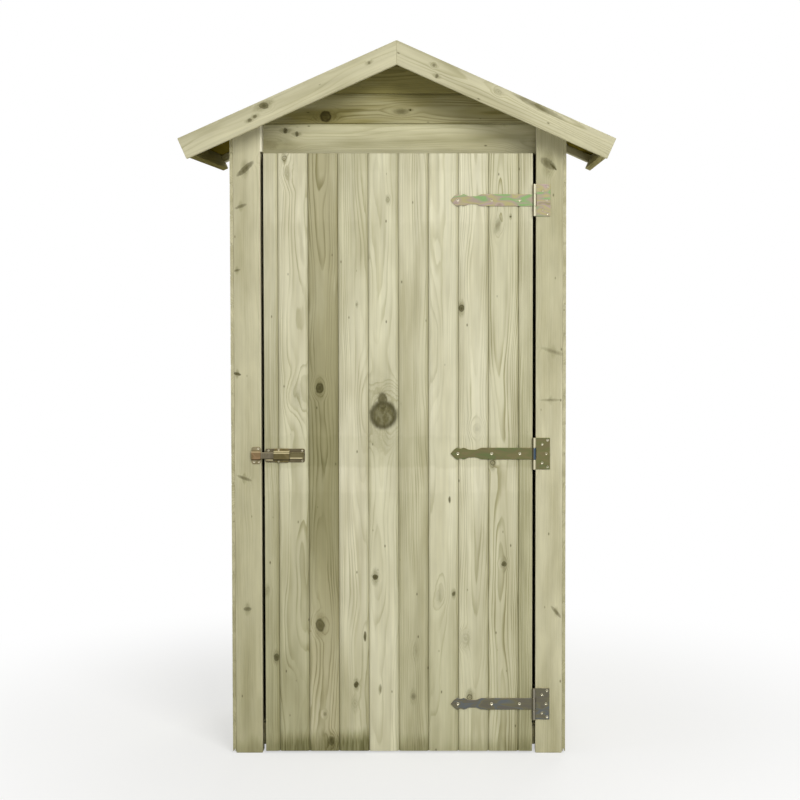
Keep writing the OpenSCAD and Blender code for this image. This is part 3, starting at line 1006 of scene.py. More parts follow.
def board_run_tree() -> Tree:
    """Builds the node tree that lays boards side by side from one board's section.

    Returns:
        The tree. Its inputs are Section, Length, Cover, Count, Unevenness, Seed and Finish.
    """
    inputs = {
        "Section": "Object", "Length": "Float", "Cover": "Float", "Count": "Int",
        "Unevenness": "Float", "Seed": "Int", "Finish": "Material",
    }
    tree = new_group("board_run", "GeometryNodeTree", inputs, {"Boards": "Geometry"})
    given = tree.nodes.new("NodeGroupInput").outputs
    section = add(tree, "GeometryNodeObjectInfo", {"Object": given["Section"]}, out=4)
    run = add(tree, JOIN, {2: given["Length"]})
    body = add(
        tree, "GeometryNodeExtrudeMesh",
        {"Mesh": section, "Offset": run, "Offset Scale": 1.0, "Individual": False},
    )
    end = add(tree, "GeometryNodeFlipFaces", section)
    board = add(tree, "GeometryNodeJoinGeometry", {0: [end, body]})
    board = add(tree, "GeometryNodeMergeByDistance", {"Geometry": board, "Distance": 0.01 * MM})
    place = add(tree, "GeometryNodeInputPosition")
    board = add(
        tree, "GeometryNodeStoreNamedAttribute",
        {"Geometry": board, "Name": "board_at", "Value": place},
        data_type="FLOAT_VECTOR", domain="POINT",
    )
    step = add(tree, JOIN, given["Cover"])
    places = add(tree, "GeometryNodeMeshLine", {"Count": given["Count"], "Offset": step})
    boards = add(tree, "GeometryNodeInstanceOnPoints", {"Points": places, "Instance": board})
    number = add(tree, "GeometryNodeInputIndex")
    boards = add(
        tree, "GeometryNodeStoreNamedAttribute",
        {"Geometry": boards, "Name": "board_number", "Value": number},
        data_type="FLOAT", domain="INSTANCE",
    )
    uneven = add(
        tree, "FunctionNodeRandomValue", {2: 0.0, 3: given["Unevenness"], "Seed": given["Seed"]},
        out=1, data_type="FLOAT",
    )
    shift = add(tree, JOIN, {1: uneven})
    boards = add(
        tree, "GeometryNodeTranslateInstances",
        {"Instances": boards, "Translation": shift, "Local Space": False},
    )
    boards = add(tree, "GeometryNodeRealizeInstances", boards)
    boards = add(tree, "GeometryNodeSetMaterial", {"Geometry": boards, "Material": given["Finish"]})
    tree.links.new(boards, tree.nodes.new("NodeGroupOutput").inputs[0])
    return tree


def evaluated(name: str, start: Mesh, tree: Tree, values: dict[str, object]) -> Mesh:
    """Runs a node tree on a mesh and keeps the result as a plain mesh.

    Args:
        name: the new mesh's name.
        start: the mesh that the tree starts from.
        tree: the node tree.
        values: the tree's inputs, by name.

    Returns:
        The plain mesh.
    """
    holder = new_object(name + "_holder", start)
    nodes = holder.modifiers.new("make", "NODES")
    nodes.node_group = tree
    for item in tree.interface.items_tree:
        if item.in_out == "INPUT" and item.name in values:
            nodes[item.identifier] = values[item.name]
    shape = holder.evaluated_get(bpy.context.evaluated_depsgraph_get())
    mesh = bpy.data.meshes.new_from_object(shape)
    mesh.name = name
    bpy.data.objects.remove(holder)
    return mesh


@dataclass(frozen=True)
class Cut:
    """A flat cut through a run of boards: all that lies on the normal's side goes."""

    point: Vector
    normal: Vector


@dataclass
class BoardRun:
    """Boards laid side by side by Geometry Nodes, and then trimmed. Lengths in millimetres."""

    name: str
    boarding: Boarding
    growths: list[Growth]
    length: float
    unevenness: float = 0.3
    seed: int = 1

    def build(self, finish: Material, place: Matrix, cuts: Iterable[Cut] = ()) -> Object:
        """Makes the boards.

        Args:
            finish: their material.
            place: takes the run, with its boards across X, its faces towards -Y and its
                lengths along Z, to its place in the frame.
            cuts: the cuts that trim it there.

        Returns:
            The boards as one object.
        """
        section = bmesh.new()
        outline = [(x * MM, y * MM, 0) for x, y in self.boarding.outline()]
        section.faces.new([section.verts.new(place) for place in outline])
        pattern = new_object(self.name + "_section", to_mesh(section, self.name + "_section"))
        tree = bpy.data.node_groups.get("board_run") or board_run_tree()
        mesh = evaluated(
            self.name, bpy.data.meshes.new(self.name + "_start"), tree,
            {"Section": pattern, "Length": self.length * MM, "Cover": self.boarding.cover * MM,
             "Count": len(self.growths), "Unevenness": self.unevenness * MM, "Seed": self.seed,
             "Finish": finish},
        )
        bpy.data.objects.remove(pattern)
        mesh.transform(place)
        bm = bmesh.new()
        bm.from_mesh(mesh)
        for cut in cuts:
            made = bmesh.ops.bisect_plane(
                bm, geom=[*bm.verts, *bm.edges, *bm.faces], dist=0.001 * MM,
                plane_co=cut.point, plane_no=cut.normal, clear_outer=True,
            )
            edges = [e for e in made["geom_cut"] if isinstance(e, BMEdge)]
            bmesh.ops.holes_fill(bm, edges=edges, sides=0)
        boards = to_mesh(bm, self.name)
        boards.materials.append(finish)
        owner = [0.0] * len(boards.vertices)
        boards.attributes["board_number"].data.foreach_get("value", owner)
        store_growth(boards, self.growths, [round(number) for number in owner])
        piece = new_object(self.name, boards)
        soften(piece, 0.5)
        return piece


def placed(origin: Vector, across: Vector, inward: Vector) -> Matrix:
    """Makes the matrix that puts a run of boards on a wall.

    Args:
        origin: the foot of the first board's middle line, on the wall's face.
        across: the direction in which the boards follow one another.
        inward: the direction from the boards' faces to their backs.

    Returns:
        The matrix. The boards run along the cross product of the two directions.
    """
    columns = (across, inward, across.cross(inward))
    turn = Matrix([[column[row] for column in columns] for row in range(3)]).to_4x4()
    return Matrix.Translation(origin) @ turn


@dataclass(frozen=True)
class Timber:
    """A piece of wood with its own grain.

    Attributes:
        along: the direction of its grain.
        face: the way its better face looks.
        growth: how it grew.
        finish: its material.
        slot: the record's material slot.
        eased: how far its arrises are rounded, in millimetres.
        from_ground: whether heights on it count from the ground, and not from its end.
    """

    along: Vector
    face: Vector
    growth: Growth
    finish: Material
    slot: str
    eased: float = 2.0
    from_ground: bool = False

    def dress(self, node: str) -> None:
        """Dresses a CAD node: the same solid with eased arrises and its grain."""
        self.build(cad_copy(node), f"{node}_timber", node)

    def build(self, bm: BMesh, name: str, *nodes: str) -> None:
        """Makes the piece.

        Args:
            bm: its shape.
            name: its name.
            nodes: the CAD node that it stands for; with none it is fixed to the cabinet.
        """
        mesh = to_mesh(bm, name)
        inward = -self.face
        across = inward.cross(self.along)
        places = [v.co for v in mesh.vertices]
        run = [(p.dot(across), p.dot(inward), p.dot(self.along)) for p in places]
        middle = (min(r[0] for r in run) + max(r[0] for r in run)) / 2
        front = min(r[1] for r in run)
        foot = 0.0 if self.from_ground else min(r[2] for r in run)
        at = [part for r in run for part in (r[0] - middle, r[1] - front, r[2] - foot)]
        mesh.attributes.new("board_at", "FLOAT_VECTOR", "POINT").data.foreach_set("vector", at)
        store_growth(mesh, [self.growth], [0] * len(places))
        mesh.materials.append(self.finish)
        piece = new_object(name, mesh)
        soften(piece, self.eased, 3)
        settle(piece, BODY_OF[nodes[0]] if nodes else "cabinet", self.slot, *nodes)


# ---- fasteners

def fastener_tree() -> Tree:
    """Builds the node tree that drives a fastener in at each point of a mesh.

    Returns:
        The tree. Its inputs are Places, Fastener, Seed and Finish.
    """
    inputs = {"Places": "Geometry", "Fastener": "Object", "Seed": "Int", "Finish": "Material"}
    tree = new_group("fasteners", "GeometryNodeTree", inputs, {"Fasteners": "Geometry"})
    given = tree.nodes.new("NodeGroupInput").outputs
    head = add(tree, "GeometryNodeObjectInfo", {"Object": given["Fastener"]}, out=4)
    facing = add(
        tree, "GeometryNodeInputNamedAttribute", {"Name": "facing"}, data_type="FLOAT_VECTOR"
    )
    turn = add(tree, "FunctionNodeAlignRotationToVector", {"Vector": facing}, axis="Z")
    spin = add(
        tree, "FunctionNodeRandomValue", {2: 0.0, 3: math.tau, "Seed": given["Seed"]}, out=1,
        data_type="FLOAT",
    )
    spin = add(tree, "FunctionNodeAxisAngleToRotation", {"Axis": (0, 0, 1), "Angle": spin})
    turn = add(tree, "FunctionNodeRotateRotation", turn, spin, rotation_space="LOCAL")
    heads = add(
        tree, "GeometryNodeInstanceOnPoints",
        {"Points": given["Places"], "Instance": head, "Rotation": turn},
    )
    heads = add(tree, "GeometryNodeRealizeInstances", heads)
    heads = add(tree, "GeometryNodeSetMaterial", {"Geometry": heads, "Material": given["Finish"]})
    tree.links.new(heads, tree.nodes.new("NodeGroupOutput").inputs[0])
    return tree


@dataclass(frozen=True)
class Screw:
    """A screw with a cross recess in its dished seat, seen as its head. Sizes in millimetres."""

    radius: float = 3.6
    proud: float = 0.9
    dish: float = 0.8
    wing: float = 1.7
    web: float = 0.5
    recess: float = 0.6

    def mesh(self) -> Mesh:
        """Builds the head, its face towards +Z and its rim at height 0."""
        bm = bmesh.new()
        cross = [
            (self.wing, self.web), (self.web, self.web), (self.web, self.wing),
            (-self.web, self.wing), (-self.web, self.web), (-self.wing, self.web),
            (-self.wing, -self.web), (-self.web, -self.web), (-self.web, -self.wing),
            (self.web, -self.wing), (self.web, -self.web), (self.wing, -self.web),
        ]

        def ring(points: Iterable[tuple[float, float]], z: float) -> list[BMVert]:
            """Returns new vertices at these places, z millimetres high."""
            return [bm.verts.new((x * MM, y * MM, z * MM)) for x, y in points]

        angles = [math.atan2(y, x) for x, y in cross]
        rings = [
            ring([(r * math.cos(a), r * math.sin(a)) for a in angles], z)
            for r, z in ((self.radius, -0.4), (self.radius, 0.3), (self.radius * 0.86, self.proud))
        ]
        rings.append(ring(cross, self.proud - self.dish))
        rings.append(ring(cross, self.proud - self.dish - self.recess))
        for outer, inner in zip(rings, rings[1:]):
            for i in range(len(cross)):
                j = (i + 1) % len(cross)
                bm.faces.new((outer[i], outer[j], inner[j], inner[i]))
        bm.faces.new(rings[-1])
        bm.faces.new(list(reversed(rings[0])))
        mesh = to_mesh(bm, "screw_head")
        mesh.shade_flat()
        return mesh


@dataclass(frozen=True)
class Nail:
    """A wire nail's flat round head, driven just under flush. Sizes in millimetres."""

    radius: float = 1.8
    proud: float = 0.25
    sides: int = 10

    def mesh(self) -> Mesh:
        """Builds the head, its face towards +Z."""
        bm = bmesh.new()
        bmesh.ops.create_cone(
            bm, cap_ends=True, segments=self.sides, radius1=self.radius * MM,
            radius2=self.radius * 0.8 * MM, depth=2 * self.proud * MM,
        )
        mesh = to_mesh(bm, "nail_head")
        mesh.shade_flat()
        return mesh


@dataclass
class Fasteners:
    """All the fasteners of one kind on one body."""

    name: str
    head: Screw | Nail
    body: str
    slot: str
    seed: int = 3
    places: list[tuple[Vector, Vector]] = field(default_factory=list)

    def drive(self, place: Sequence[float], facing: Sequence[float]) -> None:
        """Drives one in at a place in metres, its head facing a direction."""
        self.places.append((Vector(place), Vector(facing)))

    def build(self, finish: Material) -> None:
        """Makes them all as one piece, in one finish."""
        start = bpy.data.meshes.new(self.name + "_places")
        start.from_pydata([place for place, _ in self.places], [], [])
        ways = [part for _, way in self.places for part in way]
        start.attributes.new("facing", "FLOAT_VECTOR", "POINT").data.foreach_set("vector", ways)
        pattern = new_object(self.name + "_head", self.head.mesh())
        tree = bpy.data.node_groups.get("fasteners") or fastener_tree()
        mesh = evaluated(
            self.name, start, tree, {"Fastener": pattern, "Seed": self.seed, "Finish": finish}
        )
        bpy.data.objects.remove(pattern)
        settle(new_object(self.name, mesh), self.body, self.slot)


# ---- the cabinet's parts

@dataclass
class Finishes:
    """Every finish on the cabinet, built once."""

    def __post_init__(self) -> None:
        """Builds the materials."""
        # calm wood with soft clouds, a painted highlight on its arrises
        self.frame = TreatedPine(
            "treated_pine_posts", pale="#d3ceae", foot=0.82, knots_read=KNOT_SLOTS,
            arris=33 * MM, streaks=0.5, clouds=0.05,
        ).material()
        # the same wood, plainer, for rails, ledges and barge boards
        self.rail = TreatedPine("treated_pine_rails", pale="#d3ceae", foot=0.82).material()
        # warmer and darker boards with strong knots; their dark olive colours are partly painted shade
        # of the roof
        self.gable = TreatedPine(
            "treated_pine_gable", pale="#d4cfac", dark="#8f8754", dark_late="#665e33",
            knot="#4f4826", knot_rim="#3b351b", seam=(1.0, 12.0), specular=0.0,
        ).material()
        # a nearly white slip, a painted highlight where the post's inner side catches the light
        self.slip = TreatedPine("treated_pine_slip", pale="#f2eed6").material()
        # a little darker than the door
        self.board = TreatedPine("treated_pine_boards", pale="#cfcaa8", foot=0.80).material()
        # darker wood, with a strongly olive painted shade where it faces down
        self.roof = TreatedPine(
            "treated_pine_roof", pale="#c9c3a0", underside_shade="#a3984c", specular=0.0
        ).material()
        # olive and dark on the darkest board, a painted shade under the roof, and dimmer with painted
        # shade where it faces down
        self.eaves = TreatedPine(
            "treated_pine_eaves", pale="#d3ceae", dark="#96906a", dark_late="#6a6440",
            underside_shade="#dedabf", specular=0.0,
        ).material()
        # the palest boards, with painted shade in the grooves and faint level bands
        self.door = TreatedPine(
            "treated_pine_door", foot=0.85, seam=(2.8, 16.0), knots_read=KNOT_SLOTS,
            bands=((0.66, 0.722, 1.04), (0.722, 0.80, 0.95), (1.322, 1.449, 1.03)),
        ).material()
        # pressed parts, each batch dulled in its own way
        batches = (Passivation.BRASSY, Passivation.GOLD, Passivation.EAR, Passivation.GRIP,
                   Passivation.DULL)
        self.zinc = {batch: PlatedSteel(batch).material() for batch in batches}
        # small pale heads with a painted highlight where they face up
        self.screw = PlatedSteel(Passivation.PALE, painted_highlight="#fff8e4").material()
        # the top hinge iridescent, the middle one olive, the bottom one dull; their clouds are
        # drawn out along the strap
        long = (62.0, 34.0, 20.0)
        # the second colour of each is the painted highlight on its knuckle
        bright = PlatedSteel(Passivation.BRIGHT, "#d3ceb2", cloud=long, drift=-89).material()
        strap = PlatedSteel(Passivation.OLIVE, "#4c5b6a", cloud=long).material()
        plate = PlatedSteel(Passivation.OLIVE, "#cfc8aa", cloud=long).material()
        dull = PlatedSteel(Passivation.DULL, "#8b8678", cloud=long).material()
        self.hinges = {"top": (bright, bright), "middle": (strap, plate), "bottom": (dull, dull)}
        # a dark bar under a coppery bridge, both with a painted highlight where they face up
        self.bar = PlatedSteel(Passivation.DARK, painted_highlight="#a0967a").material()
        self.bridge = PlatedSteel(Passivation.COPPER, painted_highlight="#b5a681").material()


@dataclass
class Posts:
    """The four corner posts."""

    finishes: Finishes

    def build(self) -> None:
        """Dresses the posts, each with its own knots."""
        front = {
            "left": Growth(46, 52, 0.30, 0.25, 0.11, (
                Knot(-3, 1441, 6.5, 3.8, 42, 0.72), Knot(-14, 1350, 4, 3.6, 20, 0.6),
                Knot(-24, 1194, 3, 2.5, 15, 0.6), Knot(-25, 940, 3.4, 2.6, -14, 0.85),
                Knot(-9, 683, 4, 4.5, -20, 0.6), Knot(-3, 359, 5, 1.8, 0, 0.65),
            ), 0.5, (0.97, 0.95, 1.03)),
            # the right post's dimmer top (0.88) is painted shade of the barge board
            "right": Growth(-50, 45, 0.22, 0.25, 0.73, (
                Knot(-4, 1454, 10, 2.0, -35, 0.62), Knot(9, 1446, 2.6, 4.0, -46, 0.9),
                Knot(10, 995, 5, 6.0, -18, 0.4), Knot(4, 876, 3.5, 7.0, 0, 0.45),
                Knot(18, 352, 4, 4.5, -50, 0.6),
            ), 0.05, (1.12, 1.05, 0.88)),
        }
        rear, pine = Sawmill(5, (0.3, 0.5)), self.finishes.frame
        for side in ("left", "right"):
            post = Timber(UP, -BACK, front[side], pine, "frame_pine", 2.5, True)
            post.dress(f"{side}_front_post")
            post = Timber(UP, -BACK, rear.board(1500), pine, "frame_pine", 2.5, True)
            post.dress(f"{side}_rear_post")


@dataclass
class Walls:
    """The boarded sides, back and gables.

    Attributes:
        finishes: the cabinet's finishes.
        side: the boarding of the sides.
        end: the boarding of the rear wall.
        gable: the boarding of the gables.
        front_foot: how high the front gable's boards start, in millimetres.
    """

    finishes: Finishes
    side: Boarding = Boarding(8, 73.55, 1.2, 0.8, 0.4, 5.0, 2.6)
    end: Boarding = Boarding(12, 73.5, 1.6, 1.1, 0.8)
    gable: Boarding = Boarding(12, 73.6, 1.2, 1.0, 1.0)
    front_foot: float = 1479.8

    def build(self) -> None:
        """Boards the five walls."""
        for side, sign in (("left", -1), ("right", 1)):
            self._side(side, sign)
        self._rear()
        self._gable("front_gable", True)
        self._gable("rear_gable", False)
        self._scribe()

    def _scribe(self) -> None:
        """Sets the slip over the door that closes the gable against the left post; its paleness is a
        painted highlight.
        """
        post, gable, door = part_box("left_front_post"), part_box("front_gable"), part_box("door_leaf")
        set_back, over_door, width, under_top = 2 * MM, 4 * MM, 4.5 * MM, 26 * MM
        low = Vector((post[1].x, post[0].y + set_back, door[1].z + over_door))
        high = Vector((post[1].x + width, gable[0].y, post[1].z - under_top))
        bm = bmesh.new()
        bmesh.ops.create_cube(bm, size=1.0)
        for vert in bm.verts:
            vert.co = Vector((b if c > 0 else a for c, a, b in zip(vert.co, low, high)))
        growth = Growth(9, 12, 0.0, 0.2, 0.4)
        slip = Timber(UP, -BACK, growth, self.finishes.slip, "frame_pine", 0.8, True)
        slip.build(bm, "left_scribe_slip")

    def _side(self, side: str, sign: int) -> None:
        """Boards one side wall.

        Args:
            side: left or right.
            sign: -1 or 1, the way it faces along X.
        """
        node = f"{side}_side_wall"
        low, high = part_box(node)
        inner, outer, start = (low.x, high.x, high.y) if sign > 0 else (high.x, low.x, low.y)
        count = math.ceil((high.z - low.z) / (self.side.cover * MM) - 0.01)
        run = BoardRun(
            f"{side}_side_boards", self.side, Sawmill(11 + sign, (0.2, 0.5)).boards(count, 500),
            (high.y - low.y) / MM,
        )
        origin = Vector((outer, start, low.z + self.side.cover * MM / 2))
        piece = run.build(
            self.finishes.board, placed(origin, UP, -sign * EAST),
            [Cut(Vector((inner, 0, high.z)), roof_normal(sign)),
             Cut(Vector((0, 0, low.z)), -UP)],
        )
        settle(piece, "cabinet", "board_pine", node)

    def _rear(self) -> None:
        """Boards the rear wall."""
        low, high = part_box("rear_wall")
        count = math.ceil((high.z - low.z) / (self.end.cover * MM) - 0.01)
        run = BoardRun(
            "rear_boards", self.end, Sawmill(21).boards(count, 800), (high.x - low.x) / MM
        )
        origin = Vector((low.x, high.y, low.z + self.end.cover * MM / 2))
        piece = run.build(
            self.finishes.board, placed(origin, UP, -BACK),
            [Cut(Vector((0, 0, high.z)), UP), Cut(Vector((0, 0, low.z)), -UP)],
        )
        settle(piece, "cabinet", "board_pine", "rear_wall")

    def _gable(self, node: str, front: bool) -> None:
        """Boards one gable.

        Args:
            node: the gable's CAD node.
            front: whether it looks forwards.
        """
        low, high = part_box(node)
        cover = self.gable.cover * MM
        foot = self.front_foot * MM if front else low.z
        count = math.ceil((high.z - foot) / cover)
        growths = Sawmill(31 if front else 37, (0.35, 0.6)).boards(count, 800)
        if front:
            # painted shadow of the barge boards: the lowest board's two wide pale-middled knots and
            # its dimmer top; the upper boards' dark tones are partly painted shade
            growths = [
                Growth(34, 44, 0.0, 0.4, 0.35, (
                    Knot(20, 681, 5, 1.3, 0, 0.75), Knot(12, 653, 4, 1.6, 0, 0.75),
                    Knot(-14, 716, 24, 1.8, 90, -0.3), Knot(-4, 60, 22, 1.8, 90, -0.3),
                ), 0, (1, 1, 0.93)),
                Growth(-6, 26, 0.62, 0.85, 0.18, (
                    Knot(-19, 582, 12.5, 1.05, 0, 1.0), Knot(-7, 397, 7, 2.6, 90, 0.45),
                    Knot(-3, 374, 2.5, 1.0, 0, 0.8),
                ), 0),
                Growth(20, 30, 0.95, 0.6, 0.77, (), 0),
                *growths[3:],
            ]
        run = BoardRun(f"{node}_boards", self.gable, growths, (high.x - low.x) / MM)
        origin = Vector((high.x if front else low.x, low.y if front else high.y, foot + cover / 2))
        apex = Vector((0, 0, high.z))
        piece = run.build(
            self.finishes.gable if front else self.finishes.board,
            placed(origin, UP, BACK if front else -BACK),
            [Cut(apex, roof_normal(1)), Cut(apex, roof_normal(-1))],
        )
        settle(piece, "cabinet", "board_pine", node)


def roof_slope(sign: int) -> Vector:
    """Returns the direction down one slope of the roof: sign is 1 on the right, -1 on the left."""
    low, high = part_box("right_side_wall")
    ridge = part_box("front_gable")[1].z
    pitch = math.atan2(ridge - high.z, low.x)
    return Vector((sign * math.cos(pitch), 0, -math.sin(pitch)))


def roof_normal(sign: int) -> Vector:
    """Returns the direction out of one slope of the roof."""
    down = roof_slope(sign)
    return Vector((-down.z * sign, 0, abs(down.x)))


@dataclass
class Roof:
    """The boarded saddle roof with its battens, barge boards and eave boards."""

    finishes: Finishes
    boarding: Boarding = Boarding(12, 73.6, 4.0, 2.6, 1.0)

    def build(self) -> None:
        """Dresses both slopes."""
        mill, pine = Sawmill(41, (0.3, 0.55)), self.finishes.rail
        barge = {
            1: Growth(-18, 34, 0.30, 0.6, 0.43, (
                Knot(-8, 106, 4, 1.0, 0, 0.6), Knot(13, 123, 3.5, 1.4, 0, 0.7),
                Knot(-13, 273, 5, 1.5, 90, -0.5), Knot(-19, 378, 5.5, 12.0, 87.5, 0.55),
            )),
            -1: Growth(14, 40, 0.28, 0.6, 0.86, (
                Knot(13, 355, 8, 1.3, 60, 0.8), Knot(-2, 385, 4, 1.3, 90, 0.7),
                Knot(-5, 400, 4, 1.3, 90, 0.7), Knot(4, 82, 3.5, 1.0, 90, 0.6),
                Knot(13, 480, 2.5, 1.0, 90, 0.9),
            )),
        }
        for side, sign in (("left", -1), ("right", 1)):
            down = roof_slope(sign)
            self._panel(side, sign, down)
            board = Timber(down, -BACK, barge[sign], pine, "frame_pine", 1.2)
            board.dress(f"{side}_barge_board")
            # the left eave board's darkest tone is painted shade under the roof
            growth = Growth(20, 30, 0.2 if sign > 0 else 1.0, 0.6, 0.3)
            board = Timber(BACK, -roof_normal(sign), growth, self.finishes.eaves, "frame_pine")
            board.dress(f"{side}_eave_board")
            for place in ("front", "rear"):
                batten = Timber(down, -BACK, mill.board(550), pine, "frame_pine", 1.5)
                batten.dress(f"{side}_{place}_batten")

    def _panel(self, side: str, sign: int, down: Vector) -> None:
        """Boards one slope, its chamfered faces to the inside.

        Args:
            side: left or right.
            sign: -1 or 1.
            down: the direction down the slope.
        """
        node = f"{side}_roof_panel"
        low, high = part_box(node)
        out = roof_normal(sign)
        ridge = Vector((0, 0, high.z))
        length = max((v.co - ridge).dot(down) for v in frame["nodes"][node].data.vertices)
        cover = self.boarding.cover * MM
        count = math.ceil(length / cover) + 1
        ridge_gap = 0.2 * MM
        origin = ridge + down * (length - cover * (count - 0.5))
        origin -= out * self.boarding.thickness * MM
        origin.y = high.y if sign > 0 else low.y
        run = BoardRun(
            f"{side}_roof_boards", self.boarding, Sawmill(51 + sign, (0.4, 0.8)).boards(count, 600),
            (high.y - low.y) / MM, 0.2,
        )
        piece = run.build(
            self.finishes.roof, placed(origin, down, out),
            [Cut(Vector((sign * ridge_gap, 0, 0)), -sign * EAST), Cut(ridge, out),
             Cut(ridge + down * length, down)],
        )
        settle(piece, "cabinet", "roof_pine", node)


@dataclass
class Base:
    """The floor and the rails that carry it, and the top rails under the roof."""

    finishes: Finishes
    boarding: Boarding = Boarding(12, 73.6, 0.8, 0.6, 0.8)

    def build(self) -> None:
        """Dresses the rails and lays the floor."""
        mill = Sawmill(61, (0.3, 0.55))
        across = ("threshold_rail", "rear_bottom_rail")
        along = ("left_bottom_rail", "right_bottom_rail", "floor_bearer", "left_top_rail",
                 "right_top_rail")
        for node in across:
            Timber(EAST, -BACK, mill.board(700), self.finishes.rail, "frame_pine").dress(node)
        for node in along:
            Timber(BACK, UP, mill.board(400), self.finishes.rail, "frame_pine").dress(node)
        self._floor()

    def _floor(self) -> None:
        """Dresses the floor as one boarded slab, whose corners run into the posts."""
        low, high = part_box("floor")
        cover = self.boarding.cover * MM
        count = math.ceil((high.y - low.y) / cover)
        run = BoardRun(
            "floor_boards", self.boarding, Sawmill(71, (0.4, 0.7)).boards(count, 800),
            (high.x - low.x) / MM, 0.1,
        )
        origin = Vector((high.x, low.y + cover / 2, high.z))
        piece = run.build(
            self.finishes.board, placed(origin, BACK, -UP),
            [Cut(Vector((0, high.y, 0)), BACK)],
        )
        settle(piece, "cabinet", "board_pine", "floor")


@dataclass
class Door:
    """The ledged and braced door of upright boards."""

    finishes: Finishes
    boarding: Boarding = Boarding(16)

    def growths(self) -> list[Growth]:
        """Returns the ten boards, from the bolt's side to the hinges' side."""
        return [
            Growth(120, 60, 0.34, 0.6, 0.61, (
                Knot(29, 234, 6, 1.5, 90, 0.8), Knot(6, 399, 5, 2.0, 60, -0.5),
            ), 0.55, (0.78, 0.88, 1.05)),
            Growth(24, 60, 0.20, 0.6, 0.33, (
                Knot(-20, 1462, 5, 1.3, 60, -0.85), Knot(-13, 1425, 9, 2.0, 100, 0.25),
                Knot(11, 881, 14, 2.2, 80, 0.22),
            ), 1.05, (0.82, 0.97, 1.12)),
            Growth(-4, 34, 0.84, 0.9, 0.05, (
                Knot(-9, 900, 9, 1.3, 90, 0.9), Knot(-10, 314, 10, 1.5, 100, 0.85),
                Knot(17, 26, 8, 1.3, 90, 0.7), Knot(1, 92, 4, 1.2, 90, 0.55),
            ), 1.05, (1.34, 0.74, 1.05)),
            Growth(34, 42, 0.24, 0.6, 0.27, (
                Knot(27, 286, 3, 4.0, 90, 0.8), Knot(5, 166, 5, 1.5, 70, 0.95),
                Knot(2, 118, 7, 1.2, 90, -0.4), Knot(9, 1105, 3, 1.3, 90, 0.4),
            ), 1.3, (1.06, 1.17, 0.94)),
            Growth(-10, 46, 0.0, 0.45, 0.92, (
                Knot(0, 834, 32, 1.03, 80, 0.92), Knot(-2, 868, 11, 1.8, 93, 0.8),
                Knot(6, 838, 25, 1.15, 100, -0.42), Knot(-21, 433, 6.5, 1.0, 0, 0.9),
                Knot(12, 1361, 4, 1.5, 90, -0.6), Knot(-9, 155, 3, 4.0, 90, 0.5),
            ), 0.05, (1.14, 0.96, 0.96)),
            Growth(60, 40, 0.28, 0.65, 0.48, (
                Knot(-1, 136, 6, 1.4, 90, 0.45), Knot(5, 249, 8, 3.0, 90, 0.15),
            ), 0.7, (0.95, 0.93, 1.03)),
            Growth(-28, 70, 0.0, 0.35, 0.15, (
                Knot(15, 625, 2.5, 3.2, 90, 0.7), Knot(25, 392, 4, 1.5, 70, 0.75),
                Knot(-10, 385, 8, 3.0, 80, 0.2),
            ), 0.25, (0.90, 1.03, 1.0)),
            Growth(8, 30, 0.0, 0.52, 0.66, (
                Knot(-29, 1096, 6.5, 1.3, 90, 0.9), Knot(-9, 134, 6.5, 1.1, 90, -0.95),
                Knot(-19, 280, 10, 1.3, 90, -0.4), Knot(9, 800, 9, 1.2, 90, 0.2),
            ), 0.45, (1.0, 1.03, 1.05)),
            Growth(-6, 24, 0.16, 0.95, 0.38, (
                Knot(-26, 716, 6, 1.0, 90, -0.95), Knot(2, 466, 6, 1.1, 90, 0.85),
                Knot(-14, 1298, 7, 3.0, 70, 0.35), Knot(17, 1320, 2.5, 1.0, 0, 0.8),
            ), 0.6, (1.01, 1.0, 0.93)),
            Growth(-90, 30, 0.2, 0.9, 0.81, (), 0.7, (0.80, 0.76, 1.03)),
        ]

    def build(self) -> None:
        """Makes the boards, ledges and braces."""
        low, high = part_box("door_leaf")
        growths = self.growths()
        run = BoardRun("door_boards", self.boarding, growths, (high.z - low.z) / MM, 0.35, 8)
        first = -(len(growths) - 1) / 2 * self.boarding.cover * MM
        piece = run.build(
            self.finishes.door, placed(Vector((first, low.y, low.z)), EAST, BACK),
            [Cut(Vector((low.x, 0, 0)), -EAST), Cut(Vector((high.x, 0, 0)), EAST),
             Cut(Vector((0, high.y, 0)), BACK)],
        )
        settle(piece, "door", "door_pine", "door_leaf")
        mill = Sawmill(81, (0.3, 0.5))
        for place in ("top", "middle", "bottom"):
            ledge = Timber(EAST, BACK, mill.board(600), self.finishes.rail, "door_pine")
            ledge.dress(f"{place}_ledge")
        for place in ("upper", "lower"):
            low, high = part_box(f"{place}_brace")
            rise = Vector((low.x - high.x + 60 * MM, 0, high.z - low.z)).normalized()
            brace = Timber(rise, BACK, mill.board(700), self.finishes.rail, "door_pine")
            brace.dress(f"{place}_brace")


